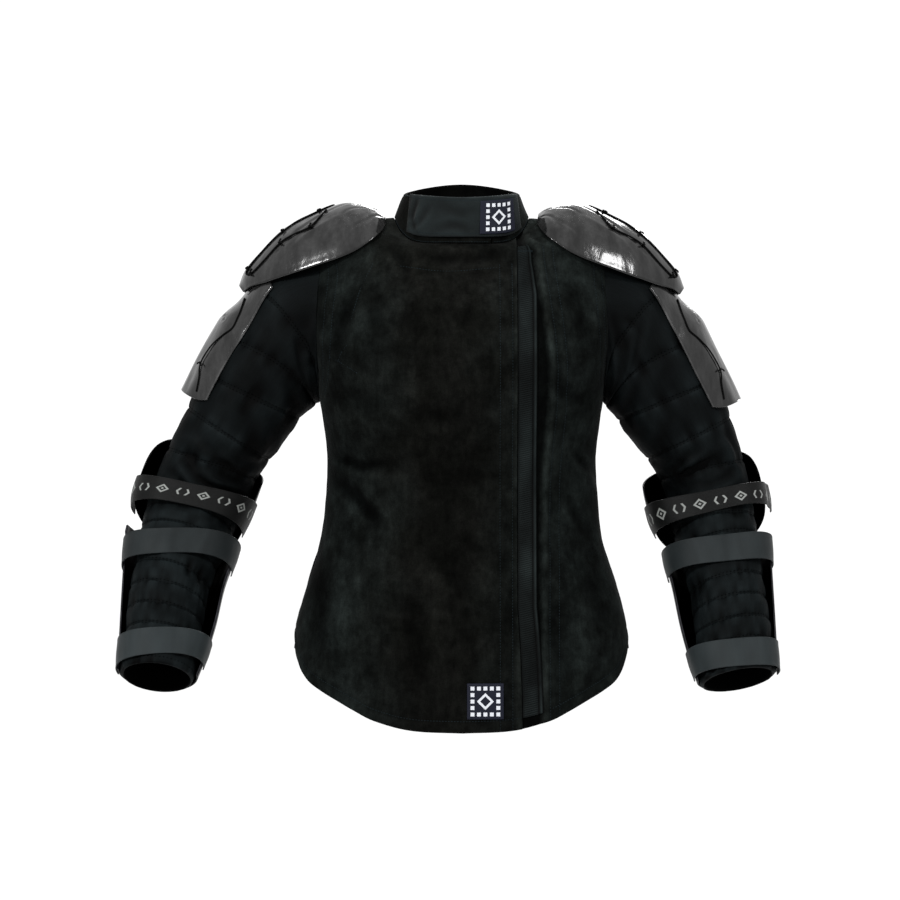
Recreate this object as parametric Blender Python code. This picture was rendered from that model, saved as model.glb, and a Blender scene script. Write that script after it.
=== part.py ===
"""A fencing jacket, worn and filled out, as the pieces that a maker would cut and sew.

The jacket faces -Y and its wearer's right arm is at -X. The origin is the middle of the neck.
Sizes below are in millimetres and angles in degrees. Points become metres in make_wall.
"""

import math

import bmesh
import bpy
from mathutils import Vector

MM = 0.001

# Walls and clearances
SEAM = 0.3
SUEDE = 2.5
COLLAR_WALL = 3.5
FLAP_WALL = 3.5
LABEL = 1.0
TAPE = 1.6
LINING = 2.5
QUILT = 2.5
PLASTIC = 3.0
ELASTIC = 2.0
LACE_RADIUS = 1.3
LACE_GAP = 0.7
KNOT_SWELL = 2.0

# Rings of the body. A ring's level is its height at the sides, where the shoulder seam runs.
# level, half width, front depth, back depth, front drop, back drop, squareness
BODY_RINGS = (
    (-650, 213, 133, 127, 0, 0, 2.3),
    (-590, 213, 131, 125, 0, 0, 2.3),
    (-540, 209.5, 128, 121, 0, 0, 2.3),
    (-500, 204, 124, 114, 0, 0, 2.3),
    (-450, 190.5, 118, 105, 0, 0, 2.3),
    (-400, 175.5, 112, 95, 0, 0, 2.3),
    (-350, 169.5, 109, 89, 0, 0, 2.3),
    (-300, 167.5, 114, 90, 0, 0, 2.3),
    (-250, 173, 125, 97, 0, 0, 2.4),
    (-200, 181, 132, 106, 0, 0, 2.6),
    (-150, 188, 127, 111, -3, -5, 2.8),
    (-100, 190, 114, 108, -8, -10, 2.8),
    (-60, 188, 97, 100, -18, -18, 2.6),
    (-26, 181, 82, 89, -31, -22, 2.5),
    (-13, 168, 76, 82, -34, -17, 2.4),
    (-6, 144, 72, 76, -36, -10, 2.3),
    (-2, 113, 69, 70, -37, -3, 2.3),
    (0, 84, 66, 64, -37, 2, 2.3),
)
NECKLINE = 0.0
DROP_POWER = 8
SIDE_RADIUS = 170
RIGHT_COLUMNS = 13
LEFT_COLUMNS = 6
BACK_COLUMNS = 16

# The shirt-tail hem. How far a point is to the side, its height in front and its height behind
HEM_EDGE = (
    (0.00, -630, -628),
    (0.29, -627, -625),
    (0.50, -616, -616),
    (0.61, -605, -606),
    (0.71, -594, -596),
    (0.81, -583, -586),
    (0.885, -573, -577),
    (0.93, -562, -568),
    (0.96, -550, -558),
    (0.98, -539, -550),
    (1.00, -524, -538),
)
HEM_REFERENCE = -560
HEM_TOP = -480
HEM_ROWS = (0.0, 0.25, 0.6)
BODY_ROWS = (-480, -440, -405, -375, -345, -315, -285, -255)

# Armholes, as an oval on the side of the body
ARMHOLE_LEVEL = -127
ARMHOLE_HALF = 101
ARMHOLE_DEPTH = 62
SHOULDER_ROWS = (-18, -11, -6, -2, 0)

# Front closing. The right front lies over the left one, and the webbing tape lies beside its edge
CLOSING_X = 67.0
UNDERLAP_X = 40.0
LAYER = SUEDE + 0.6
TAPE_FROM = 67.6
TAPE_TO = 91.5
TAPE_TOP_LEVEL = -6
TAPE_FOOT_SHARE = 0.09
# The rolled edge of the left front: height and distance from the middle
ROLLED_EDGE = (
    (-640, 94), (-440, 94), (-326, 95), (-244, 102), (-200, 103.5), (-150, 100), (-97, 94), (-36, 88),
    (-10, 85), (0, 72),
)
ROLL_RISE = 8.0

# Folds at the waist, on the fronts and on the back
# angle at the start, level there, angle at the end, level there, half width, depth
WAIST_MM_PER_DEGREE = 2.6
WAIST_FOLDS = (
    (-66, -300, -28, -318, 17, 4.0),
    (-74, -345, -36, -388, 19, 3.5),
    (58, -296, 86, -318, 16, 3.0),
    (108, -306, 150, -332, 18, 3.5),
    (212, -330, 250, -300, 18, 4.0),
)

# Sleeves, from the armhole to the cuff, with the distances from the middle of the body
# outer x, outer z, inner x, inner z, middle y, half depth, forward lean
SLEEVES = {
    "right": (
        (181, -26, 177, -228, 0, 62, 0),
        (240, -56, 181, -232, 0, 66, 0),
        (278, -117, 188, -238, 2, 65, 0),
        (312, -174, 214, -268, 5, 62, 0),
        (340, -230, 238, -301, 9, 59, 0),
        (368, -285, 256, -325, 14, 57, 4),
        (387, -335, 270, -357, 17, 56, 13),
        (398, -378, 288, -400, -1, 53, 28),
        (404, -432, 309, -453, -36, 48, 32),
        (408, -486, 316, -501, -68, 45, 32),
        (412, -561, 323, -567, -115, 42, 32),
    ),
    "left": (
        (181, -26, 177, -228, 0, 62, 0),
        (239, -58, 180, -234, 0, 66, 0),
        (277, -121, 186, -241, 2, 64, 0),
        (304, -176, 205, -267, 5, 61, 0),
        (333, -237, 229, -297, 9, 58, 0),
        (352, -294, 246, -322, 13, 56, 4),
        (363, -343, 258, -354, 15, 54, 12),
        (368, -391, 268, -408, -8, 52, 22),
        (372, -442, 280, -458, -33, 48, 25),
        (376, -491, 285, -507, -57, 45, 25),
        (381, -562, 290, -576, -90, 42, 25),
    ),
}
SIDES = {"right": -1, "left": 1}
SLEEVE_COLUMNS = 20
# Quilting lines of the upper arm, by length at its outer side, then the forearm's evenly spaced ones
UPPER_LINES = (56, 102, 146, 186, 230, 276)
FOREARM_PITCH = 28
FOREARM_LAST = {"right": 504, "left": 498}
FOREARM_LINES = 8
# How far the lines lean towards the armhole in front: length, lean
LINE_LEAN = ((0, 26), (50, 27), (100, 22), (150, 11), (190, 0), (600, 0))
ROOT_END = 33
ROOT_FILL = 15

# Folds of the sleeves at the elbow: length and angle at the start, then at the end, half width, depth
ELBOW_FOLDS = ((226, 52, 262, 168, 15, 6.0), (196, 40, 214, 100, 12, 3.0), (196, 168, 214, 120, 12, 3.0))
FOLD_INSIDE = 0.8

# Shoulder plates, from the collar side to the tip
# ridge x, ridge z, edge x, edge z, front depth, back depth
SHOULDER_PLATE = (
    (97, 3, 95, -9, 26, 62),
    (109, 10, 105, -28, 58, 80),
    (129, 15, 125, -44, 68, 86),
    (151, 15, 147, -55, 72, 87),
    (187, 1, 181, -66, 68, 80),
    (221, -16, 213, -76, 60, 66),
    (247, -42, 240, -84, 47, 50),
    (267, -65, 259, -88, 32, 33),
    (276, -86, 270, -93, 16, 17),
)
SHOULDER_CENTRE = (180, 0, -90)
PLATE_TURN = 80
# The wearer's left shoulder sits a little lower
PLATE_DROP = {"right": 0, "left": 3}

# Upper-arm plates, in the sleeve's own lengths and angles
ARM_PLATE_FROM = 42
ARM_PLATE_TO = 166
ARM_PLATE_ANGLE = 51
ARM_PLATE_BOWS = (4, 6)
ARM_PLATE_EDGE = 0.1
ARM_PLATE_CROWN = {"right": 15.0, "left": 18.0}
# Under the shoulder's plate, as far as this length, it has only this share of its crown
ARM_PLATE_UNDER = 56
ARM_PLATE_FLAT = 0.07
ARM_PLATE_RISE = 42

# Elbow cups: the middle and half the length along the sleeve, and how far they stand off the cloth
CUP_MIDDLE = 265
CUP_HALF = 53
CUP_ANGLE = 97
CUP_ROUND = 2.6
CUP_REACH = 0.97
CUP_FADE = 1.06
CUP_EDGE = 2.0
CUP_BACK = 13.0
CUP_STAND = {"right": (15, 5), "left": (11, 22)}

# Forearm guards: length along the sleeve, half the angle, and how far the top stands off the cloth
GUARD_FROM = 324
GUARD_SHORT = 5
GUARD_ANGLE = 96
GUARD_STAND = {"right": (15, 9), "left": (12, 14)}
GUARD_BACK = 6.0
GUARD_END = 1.0
GUARD_TAPER = 1.2
GUARD_TOP_DIP = 10
# The guard's inner side is straight where the sleeve narrows, so it stands further off half way down
GUARD_BULGE = {"right": 9, "left": 8}

# Elastic bands: length along the sleeve at the outer side, in front and at the inner side, width
BANDS = {
    "elbow_strap": {"right": (286, 290, 290, 41), "left": (273, 283, 287, 34)},
    "forearm_strap_upper": {"right": (375, 366, 346, 36), "left": (353, 355, 345, 36)},
    "forearm_strap_lower": {"right": (507, 503, 491, 36), "left": (490, 490, 482, 35)},
}
BAND_WRAP = 14
BAND_FLAT = 13
BAND_REST = {"elbow_strap": 0.2, "forearm_strap_upper": 0.8, "forearm_strap_lower": 0.8}
# The outer end of the left elbow strap is folded and stands off the cup
BAND_FLARE_ANGLES = (10, -14)
BAND_FLARE = {"elbow_strap": {"right": 0, "left": 8}}
BAND_CLEAR = {"elbow_strap": 1.5, "forearm_strap_upper": 0.8, "forearm_strap_lower": 0.5}

# Collar, its closing flap and the labels
COLLAR_HALF = 72
COLLAR_FRONT = 69
COLLAR_BACK = 60
COLLAR_TOP = {"front": 17, "side": 30, "back": 48}
COLLAR_TURN = 1.2
COLLAR_SQUARENESS = 2.3
COLLAR_SPLIT = 31
FLAP_ANGLES = (-56, 62)
FLAP_REACH = (0.14, 1.04)
FLAP_GAP = 0.8
COLLAR_LABEL_ANGLES = (18, 53)
COLLAR_LABEL_REACH = (0.20, 0.94)
HEM_LABEL_X = (6, 50)
HEM_LABEL_Z = (-613, -570)

# Laces lie on the plates. On a shoulder: place along the ridge, turn to the front, knot or not
SHOULDER_LACE = (
    (0.40, 0.00, 0), (0.46, 0.12, 1), (0.54, 0.17, 0), (0.62, 0.28, 1), (0.74, 0.31, 0), (0.85, 0.42, 1),
    (0.875, 0.55, 0), (0.84, 0.68, 1), (0.74, 0.61, 0), (0.64, 0.52, 1), (0.57, 0.50, 0), (0.50, 0.49, 1),
    (0.46, 0.38, 0), (0.43, 0.24, 0),
)
# On an upper arm: length along the sleeve, angle, knot or not
ARM_LACE = (
    (65, 22, 0), (71, 29, 0), (78, 34, 0), (90, 38, 0), (104, 33, 0), (122, 27, 0), (141, 26, 1),
    (153, 33, 0), (167, 38, 0),
)
LACE_STEPS = 3

# Colours of the solids, with roughness and metallic value
FINISHES = {
    "suede": ((0.012, 0.013, 0.012), 0.95, 0.0),
    "quilted_cotton": ((0.020, 0.024, 0.026), 0.85, 0.0),
    "flap_cloth": ((0.026, 0.029, 0.033), 0.85, 0.0),
    "webbing": ((0.020, 0.021, 0.022), 0.75, 0.0),
    "elastic": ((0.040, 0.044, 0.048), 0.70, 0.0),
    "label": ((0.010, 0.010, 0.011), 0.60, 0.0),
    "shell_plastic": ((0.060, 0.060, 0.060), 0.15, 0.0),
    "guard_plastic": ((0.012, 0.012, 0.013), 0.35, 0.0),
    "cord": ((0.010, 0.010, 0.010), 0.70, 0.0),
}


def read_row(table, key):
    """The table's columns at this key, on a smooth curve through its rows."""
    keys = [row[0] for row in table]
    at = max(i for i in range(len(keys) - 1) if i == 0 or keys[i] <= key)
    start, end = table[at], table[at + 1]
    span = end[0] - start[0]
    t = min(max((key - start[0]) / span, 0.0), 1.0)
    before = table[max(at - 1, 0)]
    after = table[min(at + 2, len(table) - 1)]
    values = []
    for column in range(1, len(start)):
        low, high = start[column], end[column]
        slope_low = span * (high - before[column]) / (end[0] - before[0])
        slope_high = span * (after[column] - low) / (after[0] - start[0])
        values.append(
            low * (1 + 2 * t) * (1 - t) ** 2
            + slope_low * t * (1 - t) ** 2
            + high * t * t * (3 - 2 * t)
            + slope_high * t * t * (t - 1)
        )
    return values


def ease(value):
    """From 0 to 1 along a smooth step."""
    t = min(max(value, 0.0), 1.0)
    return t * t * (3 - 2 * t)


def groove(u, v, start, end, half_width):
    """How deep in a groove from start to end the point is, from 0 to 1."""
    along_u, along_v = end[0] - start[0], end[1] - start[1]
    length = math.hypot(along_u, along_v)
    t = ((u - start[0]) * along_u + (v - start[1]) * along_v) / length ** 2
    off = abs((u - start[0]) * along_v - (v - start[1]) * along_u) / length
    ends = ease(min(t, 1 - t) * 4 + 0.5)
    return ends * math.exp(-(off / half_width) ** 2 * 1.5)


def with_normal(point, u, v, out, step_u, step_v, away):
    """The surface's point at u, v, moved out along the normal that points as away does."""
    here = point(u, v)
    if not out:
        return here
    across = point(u + step_u, v) - point(u - step_u, v)
    along = here - point(u, v - step_v)
    normal = across.cross(along).normalized()
    if normal.dot(away(here)) < 0:
        normal.negate()
    return here + normal * out


def body_ring(angle, level):
    """A point on the body's outer surface. Angle 0 is the front and 90 the wearer's left."""
    half, front, back, front_drop, back_drop, power = read_row(BODY_RINGS, level)
    sine = math.sin(math.radians(angle))
    cosine = math.cos(math.radians(angle))
    if cosine > 0:
        depth, height = front, level + front_drop * (1 - abs(sine) ** DROP_POWER)
    else:
        depth, height = back, level + back_drop * cosine ** 2
    radius = (abs(sine / half) ** power + abs(cosine / depth) ** power) ** (-1 / power)
    return Vector((radius * sine, -radius * cosine, height))


def body(angle, level, out=0.0):
    """The body's surface with its waist folds, moved out along its normal."""
    turned = (angle + 90) % 360 - 90
    for start, start_level, end, end_level, half_width, depth in WAIST_FOLDS:
        ends = (start * WAIST_MM_PER_DEGREE, start_level), (end * WAIST_MM_PER_DEGREE, end_level)
        out -= depth * groove(turned * WAIST_MM_PER_DEGREE, level, *ends, half_width)
    return with_normal(body_ring, angle, level, out, 0.5, 1.0, away_from_body)


def away_from_body(p):
    """Outwards at the sides, and upwards as well on the shoulders."""
    return Vector((p.x, p.y, 90 if p.z > -120 else 0))


def angle_at(level, x=None, y=None):
    """The angle from the front (from the back for a positive y) where the ring passes x or y."""
    half, front, back, _, _, power = read_row(BODY_RINGS, level)
    depth = back if y is not None and y > 0 else front
    if x is None:
        x = half * (1 - abs(y / depth) ** power) ** (1 / power)
    else:
        y = depth * (1 - abs(x / half) ** power) ** (1 / power)
    return math.degrees(math.atan2(x, abs(y)))


def armhole_angle(level, side_y):
    """The angle of the armhole's edge from the front or back, and 90 at the side and shoulder seams."""
    rise = (level - ARMHOLE_LEVEL) / ARMHOLE_HALF
    seam = 90 - math.degrees(SEAM / 2 / SIDE_RADIUS)
    if abs(rise) >= 1:
        return seam
    return min(seam, angle_at(level, y=side_y * ARMHOLE_DEPTH * math.sqrt(1 - rise * rise)))


def hem_level(angle, behind):
    """The hem's height at this angle."""
    to_side = min(1.0, abs(body_ring(angle, HEM_REFERENCE).x) / body_ring(90, HEM_REFERENCE).x)
    return read_row(HEM_EDGE, to_side)[1 if behind else 0]


def body_rows():
    """Each row as its level and, below the top of the hem's rows, its share of the way up from the hem."""
    rows = [(HEM_TOP, share) for share in HEM_ROWS]
    rows += [(level, 1.0) for level in BODY_ROWS]
    for step in range(SLEEVE_COLUMNS // 2 + 1):
        turn = math.radians(360 * step / SLEEVE_COLUMNS)
        rows.append((ARMHOLE_LEVEL - ARMHOLE_HALF * math.cos(turn), 1.0))
    return rows + [(level, 1.0) for level in SHOULDER_ROWS]


def make_wall(name, outer, inner, finish, closed=False):
    """A closed wall between two grids of points, open along its columns or closed into a tube."""
    mesh = bmesh.new()
    grids = [[[mesh.verts.new(point * MM) for point in row] for row in grid] for grid in (outer, inner)]
    rows, columns = len(outer), len(outer[0])
    last = columns if closed else columns - 1
    for grid in grids:
        for i in range(rows - 1):
            for j in range(last):
                k = (j + 1) % columns
                mesh.faces.new((grid[i][j], grid[i][k], grid[i + 1][k], grid[i + 1][j]))
    front, back = grids
    for i in (0, rows - 1):
        for j in range(last):
            k = (j + 1) % columns
            mesh.faces.new((front[i][j], back[i][j], back[i][k], front[i][k]))
    if not closed:
        for j in (0, columns - 1):
            for i in range(rows - 1):
                mesh.faces.new((front[i][j], front[i + 1][j], back[i + 1][j], back[i][j]))
    bmesh.ops.recalc_face_normals(mesh, faces=mesh.faces)
    data = bpy.data.meshes.new(name)
    mesh.to_mesh(data)
    mesh.free()
    data.shade_smooth()
    data.set_sharp_from_angle(angle=math.radians(50))
    return add_object(name, data, finish)


def add_object(name, data, finish):
    piece = bpy.data.objects.new(name, data)
    data.materials.append(materials[finish])
    collection.objects.link(piece)
    return piece


def make_sheet(name, point, us, vs, thickness, finish):
    """A wall over the grid of us and vs, from the surface point(u, v, out) outwards."""
    outer = [[point(u, v, thickness) for u in us] for v in vs]
    inner = [[point(u, v, 0.0) for u in us] for v in vs]
    return make_wall(name, outer, inner, finish)


def spread(low, high, count):
    """Evenly spaced values from low to high."""
    return [low + (high - low) * i / (count - 1) for i in range(count)]


def make_panel(name, columns_at, behind, out_at):
    """A panel of the body: its columns' angles in each row, and how far out each of its points is."""
    outer, inner = [], []
    for level, share in body_rows():
        angles = columns_at(level)
        levels = [level + (hem_level(angle, behind) - level) * (1 - share) for angle in angles]
        outs = [out_at(angle, height) for angle, height in zip(angles, levels)]
        outer.append([body(a, z, out) for a, z, out in zip(angles, levels, outs)])
        inner.append([body(a, z, out - SUEDE) for a, z, out in zip(angles, levels, outs)])
    make_wall(name, outer, inner, "suede")


def rolled_edge(height):
    """Distance of the left front's rolled edge from the middle."""
    return read_row(ROLLED_EDGE, height)[0]


def left_front_out(angle, level):
    """The left front lies one layer down under the closing, and rises at its rolled edge."""
    x = body_ring(angle, level).x
    return -LAYER * (1 - ease((x - rolled_edge(level)) / ROLL_RISE))


def right_columns(level):
    """Angles of the right front's points: even ones up to the closing, then the underlap's own."""
    marks = (UNDERLAP_X, (UNDERLAP_X + CLOSING_X) / 2, CLOSING_X)
    angles = [angle_at(level, x=x) for x in marks]
    return spread(-armhole_angle(level, -1), angles[0], RIGHT_COLUMNS)[:-1] + angles


def left_columns(level):
    """Angles of the left front's points: those of the underlap and the tape, then even ones."""
    edge = rolled_edge(level)
    marks = (UNDERLAP_X, (UNDERLAP_X + CLOSING_X) / 2, CLOSING_X, tape_end(level), edge, edge + ROLL_RISE)
    half = read_row(BODY_RINGS, level)[0]
    angles = [angle_at(level, x=min(x, half - 6 + i)) for i, x in enumerate(marks)]
    return angles[:-1] + spread(angles[-1], armhole_angle(level, -1), LEFT_COLUMNS)


def back_columns(level):
    edge = armhole_angle(level, 1)
    return spread(180 - edge, 180 + edge, BACK_COLUMNS)


def tape_end(level):
    """Distance from the middle of the tape's side at the rolled edge."""
    return min(TAPE_TO, rolled_edge(level) - 2)


def make_body():
    make_panel("front_right", right_columns, False, lambda angle, level: 0.0)
    make_panel("front_left", left_columns, False, left_front_out)
    make_panel("back", back_columns, True, lambda angle, level: 0.0)


def make_closing():
    """The webbing tape beside the closing's edge, and the label at the hem."""
    rows = [(HEM_TOP, TAPE_FOOT_SHARE)] + body_rows()[1:]

    def tape(across, row, out):
        level, share = rows[row]
        angle = angle_at(level, x=TAPE_FROM + (tape_end(level) - TAPE_FROM) * across)
        level += (hem_level(angle, False) - level) * (1 - share)
        return body(angle, level, left_front_out(angle, level) + SEAM + out)

    numbers = [i for i, row in enumerate(rows) if row[0] <= TAPE_TOP_LEVEL]
    make_sheet("placket_tape", tape, (0, 1), numbers, TAPE, "webbing")

    def label(x, level, out):
        return body(angle_at(level, x=x), level, SEAM + out)

    make_sheet("hem_label", label, spread(*HEM_LABEL_X, 4), spread(*HEM_LABEL_Z, 4), LABEL, "label")


def collar_surface(angle, reach):
    """The collar's outer surface, from the neckline at 0 to its top edge at 1."""
    sine = math.sin(math.radians(angle))
    cosine = math.cos(math.radians(angle))
    front = cosine > 0
    depth = COLLAR_FRONT if front else COLLAR_BACK
    end = COLLAR_TOP["front" if front else "back"]
    height = COLLAR_TOP["side"] + (end - COLLAR_TOP["side"]) * abs(cosine) ** COLLAR_TURN
    power = COLLAR_SQUARENESS
    radius = (abs(sine / COLLAR_HALF) ** power + abs(cosine / depth) ** power) ** (-1 / power)
    top = Vector((radius * sine, -radius * cosine, height))
    foot = body_ring(angle, NECKLINE) + Vector((0, 0, SEAM))
    return foot.lerp(top, reach)


def collar(angle, reach, out):
    return with_normal(collar_surface, angle, reach, out, 0.5, 0.05, lambda p: Vector((p.x, p.y, 0)))


def make_collar():
    def stand(angle, reach, out):
        return collar(angle, reach, out - COLLAR_WALL)

    before = [angle for angle in right_columns(NECKLINE) if angle < COLLAR_SPLIT]
    after = [angle for angle in right_columns(NECKLINE) if angle > COLLAR_SPLIT]
    around = after + left_columns(NECKLINE)[-4:] + back_columns(NECKLINE)[1:]
    angles = [COLLAR_SPLIT + 1] + around + [angle + 360 for angle in before[1:]] + [COLLAR_SPLIT + 359]
    reaches = (0, FLAP_REACH[0], sum(FLAP_REACH) / 2, 1)
    make_sheet("collar", stand, angles, reaches, COLLAR_WALL, "suede")

    def flap(angle, reach, out):
        return collar(angle, reach, out + FLAP_GAP)

    under = [angle for angle in before + after if FLAP_ANGLES[0] + 1 < angle < FLAP_ANGLES[1] - 1]
    angles = [FLAP_ANGLES[0]] + under + [FLAP_ANGLES[1]]
    reaches = (FLAP_REACH[0], sum(FLAP_REACH) / 2, FLAP_REACH[1])
    make_sheet("collar_flap", flap, angles, reaches, FLAP_WALL, "flap_cloth")

    def label(angle, reach, out):
        return collar(angle, reach, out + FLAP_GAP + FLAP_WALL + SEAM)

    ends = COLLAR_LABEL_ANGLES
    angles = [ends[0]] + [angle for angle in under if ends[0] < angle < ends[1]] + [ends[1]]
    reaches = (COLLAR_LABEL_REACH[0], sum(FLAP_REACH) / 2, COLLAR_LABEL_REACH[1])
    make_sheet("collar_label", label, angles, reaches, LABEL, "label")


class Sleeve:
    """One sleeve's form: its rings by their length along the middle line, from the armhole to the cuff."""

    def __init__(self, side):
        self.side = side
        self.sign = SIDES[side]
        self.rings = []
        length, last = 0.0, None
        for outer_x, outer_z, inner_x, inner_z, y, half_depth, lean in SLEEVES[side]:
            middle = Vector(((outer_x + inner_x) / 2, y, (outer_z + inner_z) / 2))
            length += (middle - last).length if last else 0.0
            last = middle
            self.rings.append((length, outer_x, outer_z, inner_x, inner_z, y, half_depth, lean))
        self.length = length
        forearm = [FOREARM_LAST[side] - FOREARM_PITCH * k for k in range(FOREARM_LINES - 1, -1, -1)]
        self.lines = [0.0, *UPPER_LINES, *forearm, length]

    def slanted(self, place, angle):
        """Length of a ring of points at this angle. Its length at the outer side is place."""
        inward = (1 - math.cos(math.radians(angle))) * min(1.0, place / UPPER_LINES[0])
        s = place
        for _ in range(8):
            s = place - read_row(LINE_LEAN, s)[0] * inward
        return s

    def fold(self, s, angle):
        """How deep the elbow's folds are at this place."""
        deep = 0.0
        for start_s, start_angle, end_s, end_angle, half_width, depth in ELBOW_FOLDS:
            start, end = (start_s, start_angle), (end_s, end_angle)
            deep = max(deep, depth * groove(s, angle % 360, start, end, half_width))
        return deep

    def root(self, angle, grow):
        """A point of the armhole's seam, on the body's surface, grown beyond the opening's edge."""
        turn = math.radians(angle)
        level = ARMHOLE_LEVEL + (ARMHOLE_HALF + grow) * math.cos(turn)
        y = -(ARMHOLE_DEPTH + grow) * math.sin(turn)
        around = angle_at(level, y=y)
        at = around if y <= 0 else 180 - around
        return body(self.sign * at, level, SEAM)

    def point(self, s, angle, out=0.0):
        """A point at this length and angle. Angle 0 is the outer side and 90 the front."""
        outer_x, outer_z, inner_x, inner_z, y, half_depth, lean = read_row(self.rings, s)
        outer = Vector((outer_x * self.sign, y, outer_z))
        inner = Vector((inner_x * self.sign, y, inner_z))
        across = (outer - inner).normalized()
        tilt = math.radians(lean)
        forward = Vector((0, -math.cos(tilt), math.sin(tilt)))
        half = (outer - inner).length / 2 + out
        turn = math.radians(angle)
        tube = (outer + inner) / 2 + across * half * math.cos(turn) + forward * (half_depth + out) * math.sin(turn)
        if s >= ROOT_END:
            return tube
        return self.root(angle, LINING + out).lerp(tube, ease(s / ROOT_END))

    def rows(self):
        """Each ring of points as its place and its share of the channel, three to a channel, two below."""
        rows = []
        for number, (start, end) in enumerate(zip(self.lines, self.lines[1:])):
            shares = (0, 0.25, 0.75) if number < len(UPPER_LINES) else (0, 0.5)
            rows += [(start + (end - start) * share, share) for share in shares]
        return rows + [(self.length, 1)]

    def make(self):
        """The quilted wall: its outer points are drawn in at the lines, over a plain inside."""
        outer, inner = [], []
        for place, share in self.rows():
            puff = math.sqrt(4 * share * (1 - share))
            outer.append([])
            inner.append([])
            for column in range(SLEEVE_COLUMNS):
                angle = 360 * column / SLEEVE_COLUMNS
                s = self.slanted(place, angle)
                filling, fold = QUILT * ease(s / ROOT_FILL), self.fold(s, angle)
                outer[-1].append(self.point(s, angle, -filling * (1 - puff) - fold))
                inner[-1].append(self.point(s, angle, -LINING - filling - FOLD_INSIDE * fold))
        make_wall(f"sleeve_{self.side}", outer, inner, "quilted_cotton", closed=True)


def arm_plate_stand(side, s, angle):
    """How far the upper-arm plate's inner face stands off the cloth. It is flatter under the shoulder's."""
    share = ARM_PLATE_FLAT + (1 - ARM_PLATE_FLAT) * ease((s - ARM_PLATE_UNDER) / ARM_PLATE_RISE)
    return ARM_PLATE_EDGE + ARM_PLATE_CROWN[side] * share * (1 - (angle / ARM_PLATE_ANGLE) ** 2)


def cup_stand(side, s, angle):
    """How far the elbow cup's inner face stands off the cloth."""
    outer, inner = CUP_STAND[side]
    along = math.sqrt(max(0.0, 1 - ((s - CUP_MIDDLE) / (CUP_HALF * CUP_FADE)) ** 2))
    across = math.cos(math.radians(angle))
    at_side = (outer + inner) / 2 + (outer - inner) / 2 * across
    return CUP_EDGE + along * (CUP_BACK + (at_side - CUP_BACK) * across ** 2)


def guard_stand(side, s, angle, length):
    """How far the forearm guard's inner face stands off the cloth."""
    outer, inner = GUARD_STAND[side]
    across = math.cos(math.radians(angle))
    at_side = (outer + inner) / 2 + (outer - inner) / 2 * across
    left = max(0.0, 1 - (s - GUARD_FROM) / (length - GUARD_SHORT - GUARD_FROM))
    bulge = GUARD_BULGE[side] * 4 * left * max(0.0, 1 - left) * max(0.0, -across)
    return GUARD_END + left ** GUARD_TAPER * (GUARD_BACK + (at_side - GUARD_BACK) * across ** 2) + bulge


def make_arm_plate(sleeve):
    def plate(angle, share, out):
        turn = angle / ARM_PLATE_ANGLE
        top = ARM_PLATE_FROM - ARM_PLATE_BOWS[0] * turn ** 2
        foot = ARM_PLATE_TO + ARM_PLATE_BOWS[1] * (1 - turn ** 4)
        s = top + (foot - top) * share
        return sleeve.point(s, angle, arm_plate_stand(sleeve.side, s, angle) + out)

    angles = spread(-ARM_PLATE_ANGLE, ARM_PLATE_ANGLE, 9)
    make_sheet(f"arm_plate_{sleeve.side}", plate, angles, spread(0, 1, 13), PLASTIC, "shell_plastic")


def make_elbow_cup(sleeve):
    def cup(turn, share, out):
        half = CUP_HALF * (1 - abs(turn) ** CUP_ROUND) ** (1 / CUP_ROUND)
        s = CUP_MIDDLE + half * share
        angle = -90 + CUP_ANGLE * turn
        return sleeve.point(s, angle, cup_stand(sleeve.side, s, angle) + out)

    turns = [CUP_REACH * math.sin(math.radians(90 * t)) for t in spread(-1, 1, 13)]
    shares = [math.sin(math.radians(90 * t)) for t in spread(-1, 1, 7)]
    make_sheet(f"elbow_cup_{sleeve.side}", cup, turns, shares, PLASTIC, "guard_plastic")


def make_guard(sleeve):
    foot = sleeve.length - GUARD_SHORT

    def guard(turn, share, out):
        angle = -90 + GUARD_ANGLE * turn
        top = GUARD_FROM + GUARD_TOP_DIP * turn ** 6
        s = top + (foot - top) * share
        return sleeve.point(s, angle, guard_stand(sleeve.side, s, angle, sleeve.length) + out)

    turns = spread(-1, 1, 13)
    make_sheet(f"forearm_guard_{sleeve.side}", guard, turns, spread(0, 1, 6), PLASTIC, "guard_plastic")


def make_bands(sleeve):
    """Elastic bands over the front of the sleeve, which end outside the cup's or the guard's edges."""
    for name, places in BANDS.items():
        at_outer, at_front, at_inner, width = places[sleeve.side]

        def band(angle, offset, out):
            turn = math.radians(min(max(angle, 0), 180))
            middle = (at_outer + at_inner) / 2 + (at_outer - at_inner) / 2 * math.cos(turn)
            middle += (at_front - (at_outer + at_inner) / 2) * math.sin(turn) ** 2
            s = middle + offset
            if name == "elbow_strap":
                edge = cup_stand(sleeve.side, s, angle)
            else:
                edge = guard_stand(sleeve.side, s, angle, sleeve.length)
            from_side = min(abs(angle), abs(180 - angle)) if 0 < angle < 180 else 0.0
            slack = max(0.0, from_side - BAND_FLAT) * 90 / (90 - BAND_FLAT)
            hold = math.cos(math.radians(slack)) ** 2
            rest = BAND_REST[name]
            rest += (edge + PLASTIC + BAND_CLEAR[name] - rest) * hold
            if name in BAND_FLARE:
                start, end = BAND_FLARE_ANGLES
                rest += BAND_FLARE[name][sleeve.side] * ease((start - angle) / (start - end))
            return sleeve.point(s, angle, rest + out)

        wrap = [-BAND_WRAP, -4, 6]
        angles = wrap + spread(20, 160, 8) + [180 - angle for angle in reversed(wrap)]
        offsets = (-width / 2, 0, width / 2)
        make_sheet(f"{name}_{sleeve.side}", band, angles, offsets, ELASTIC, "elastic")


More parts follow.
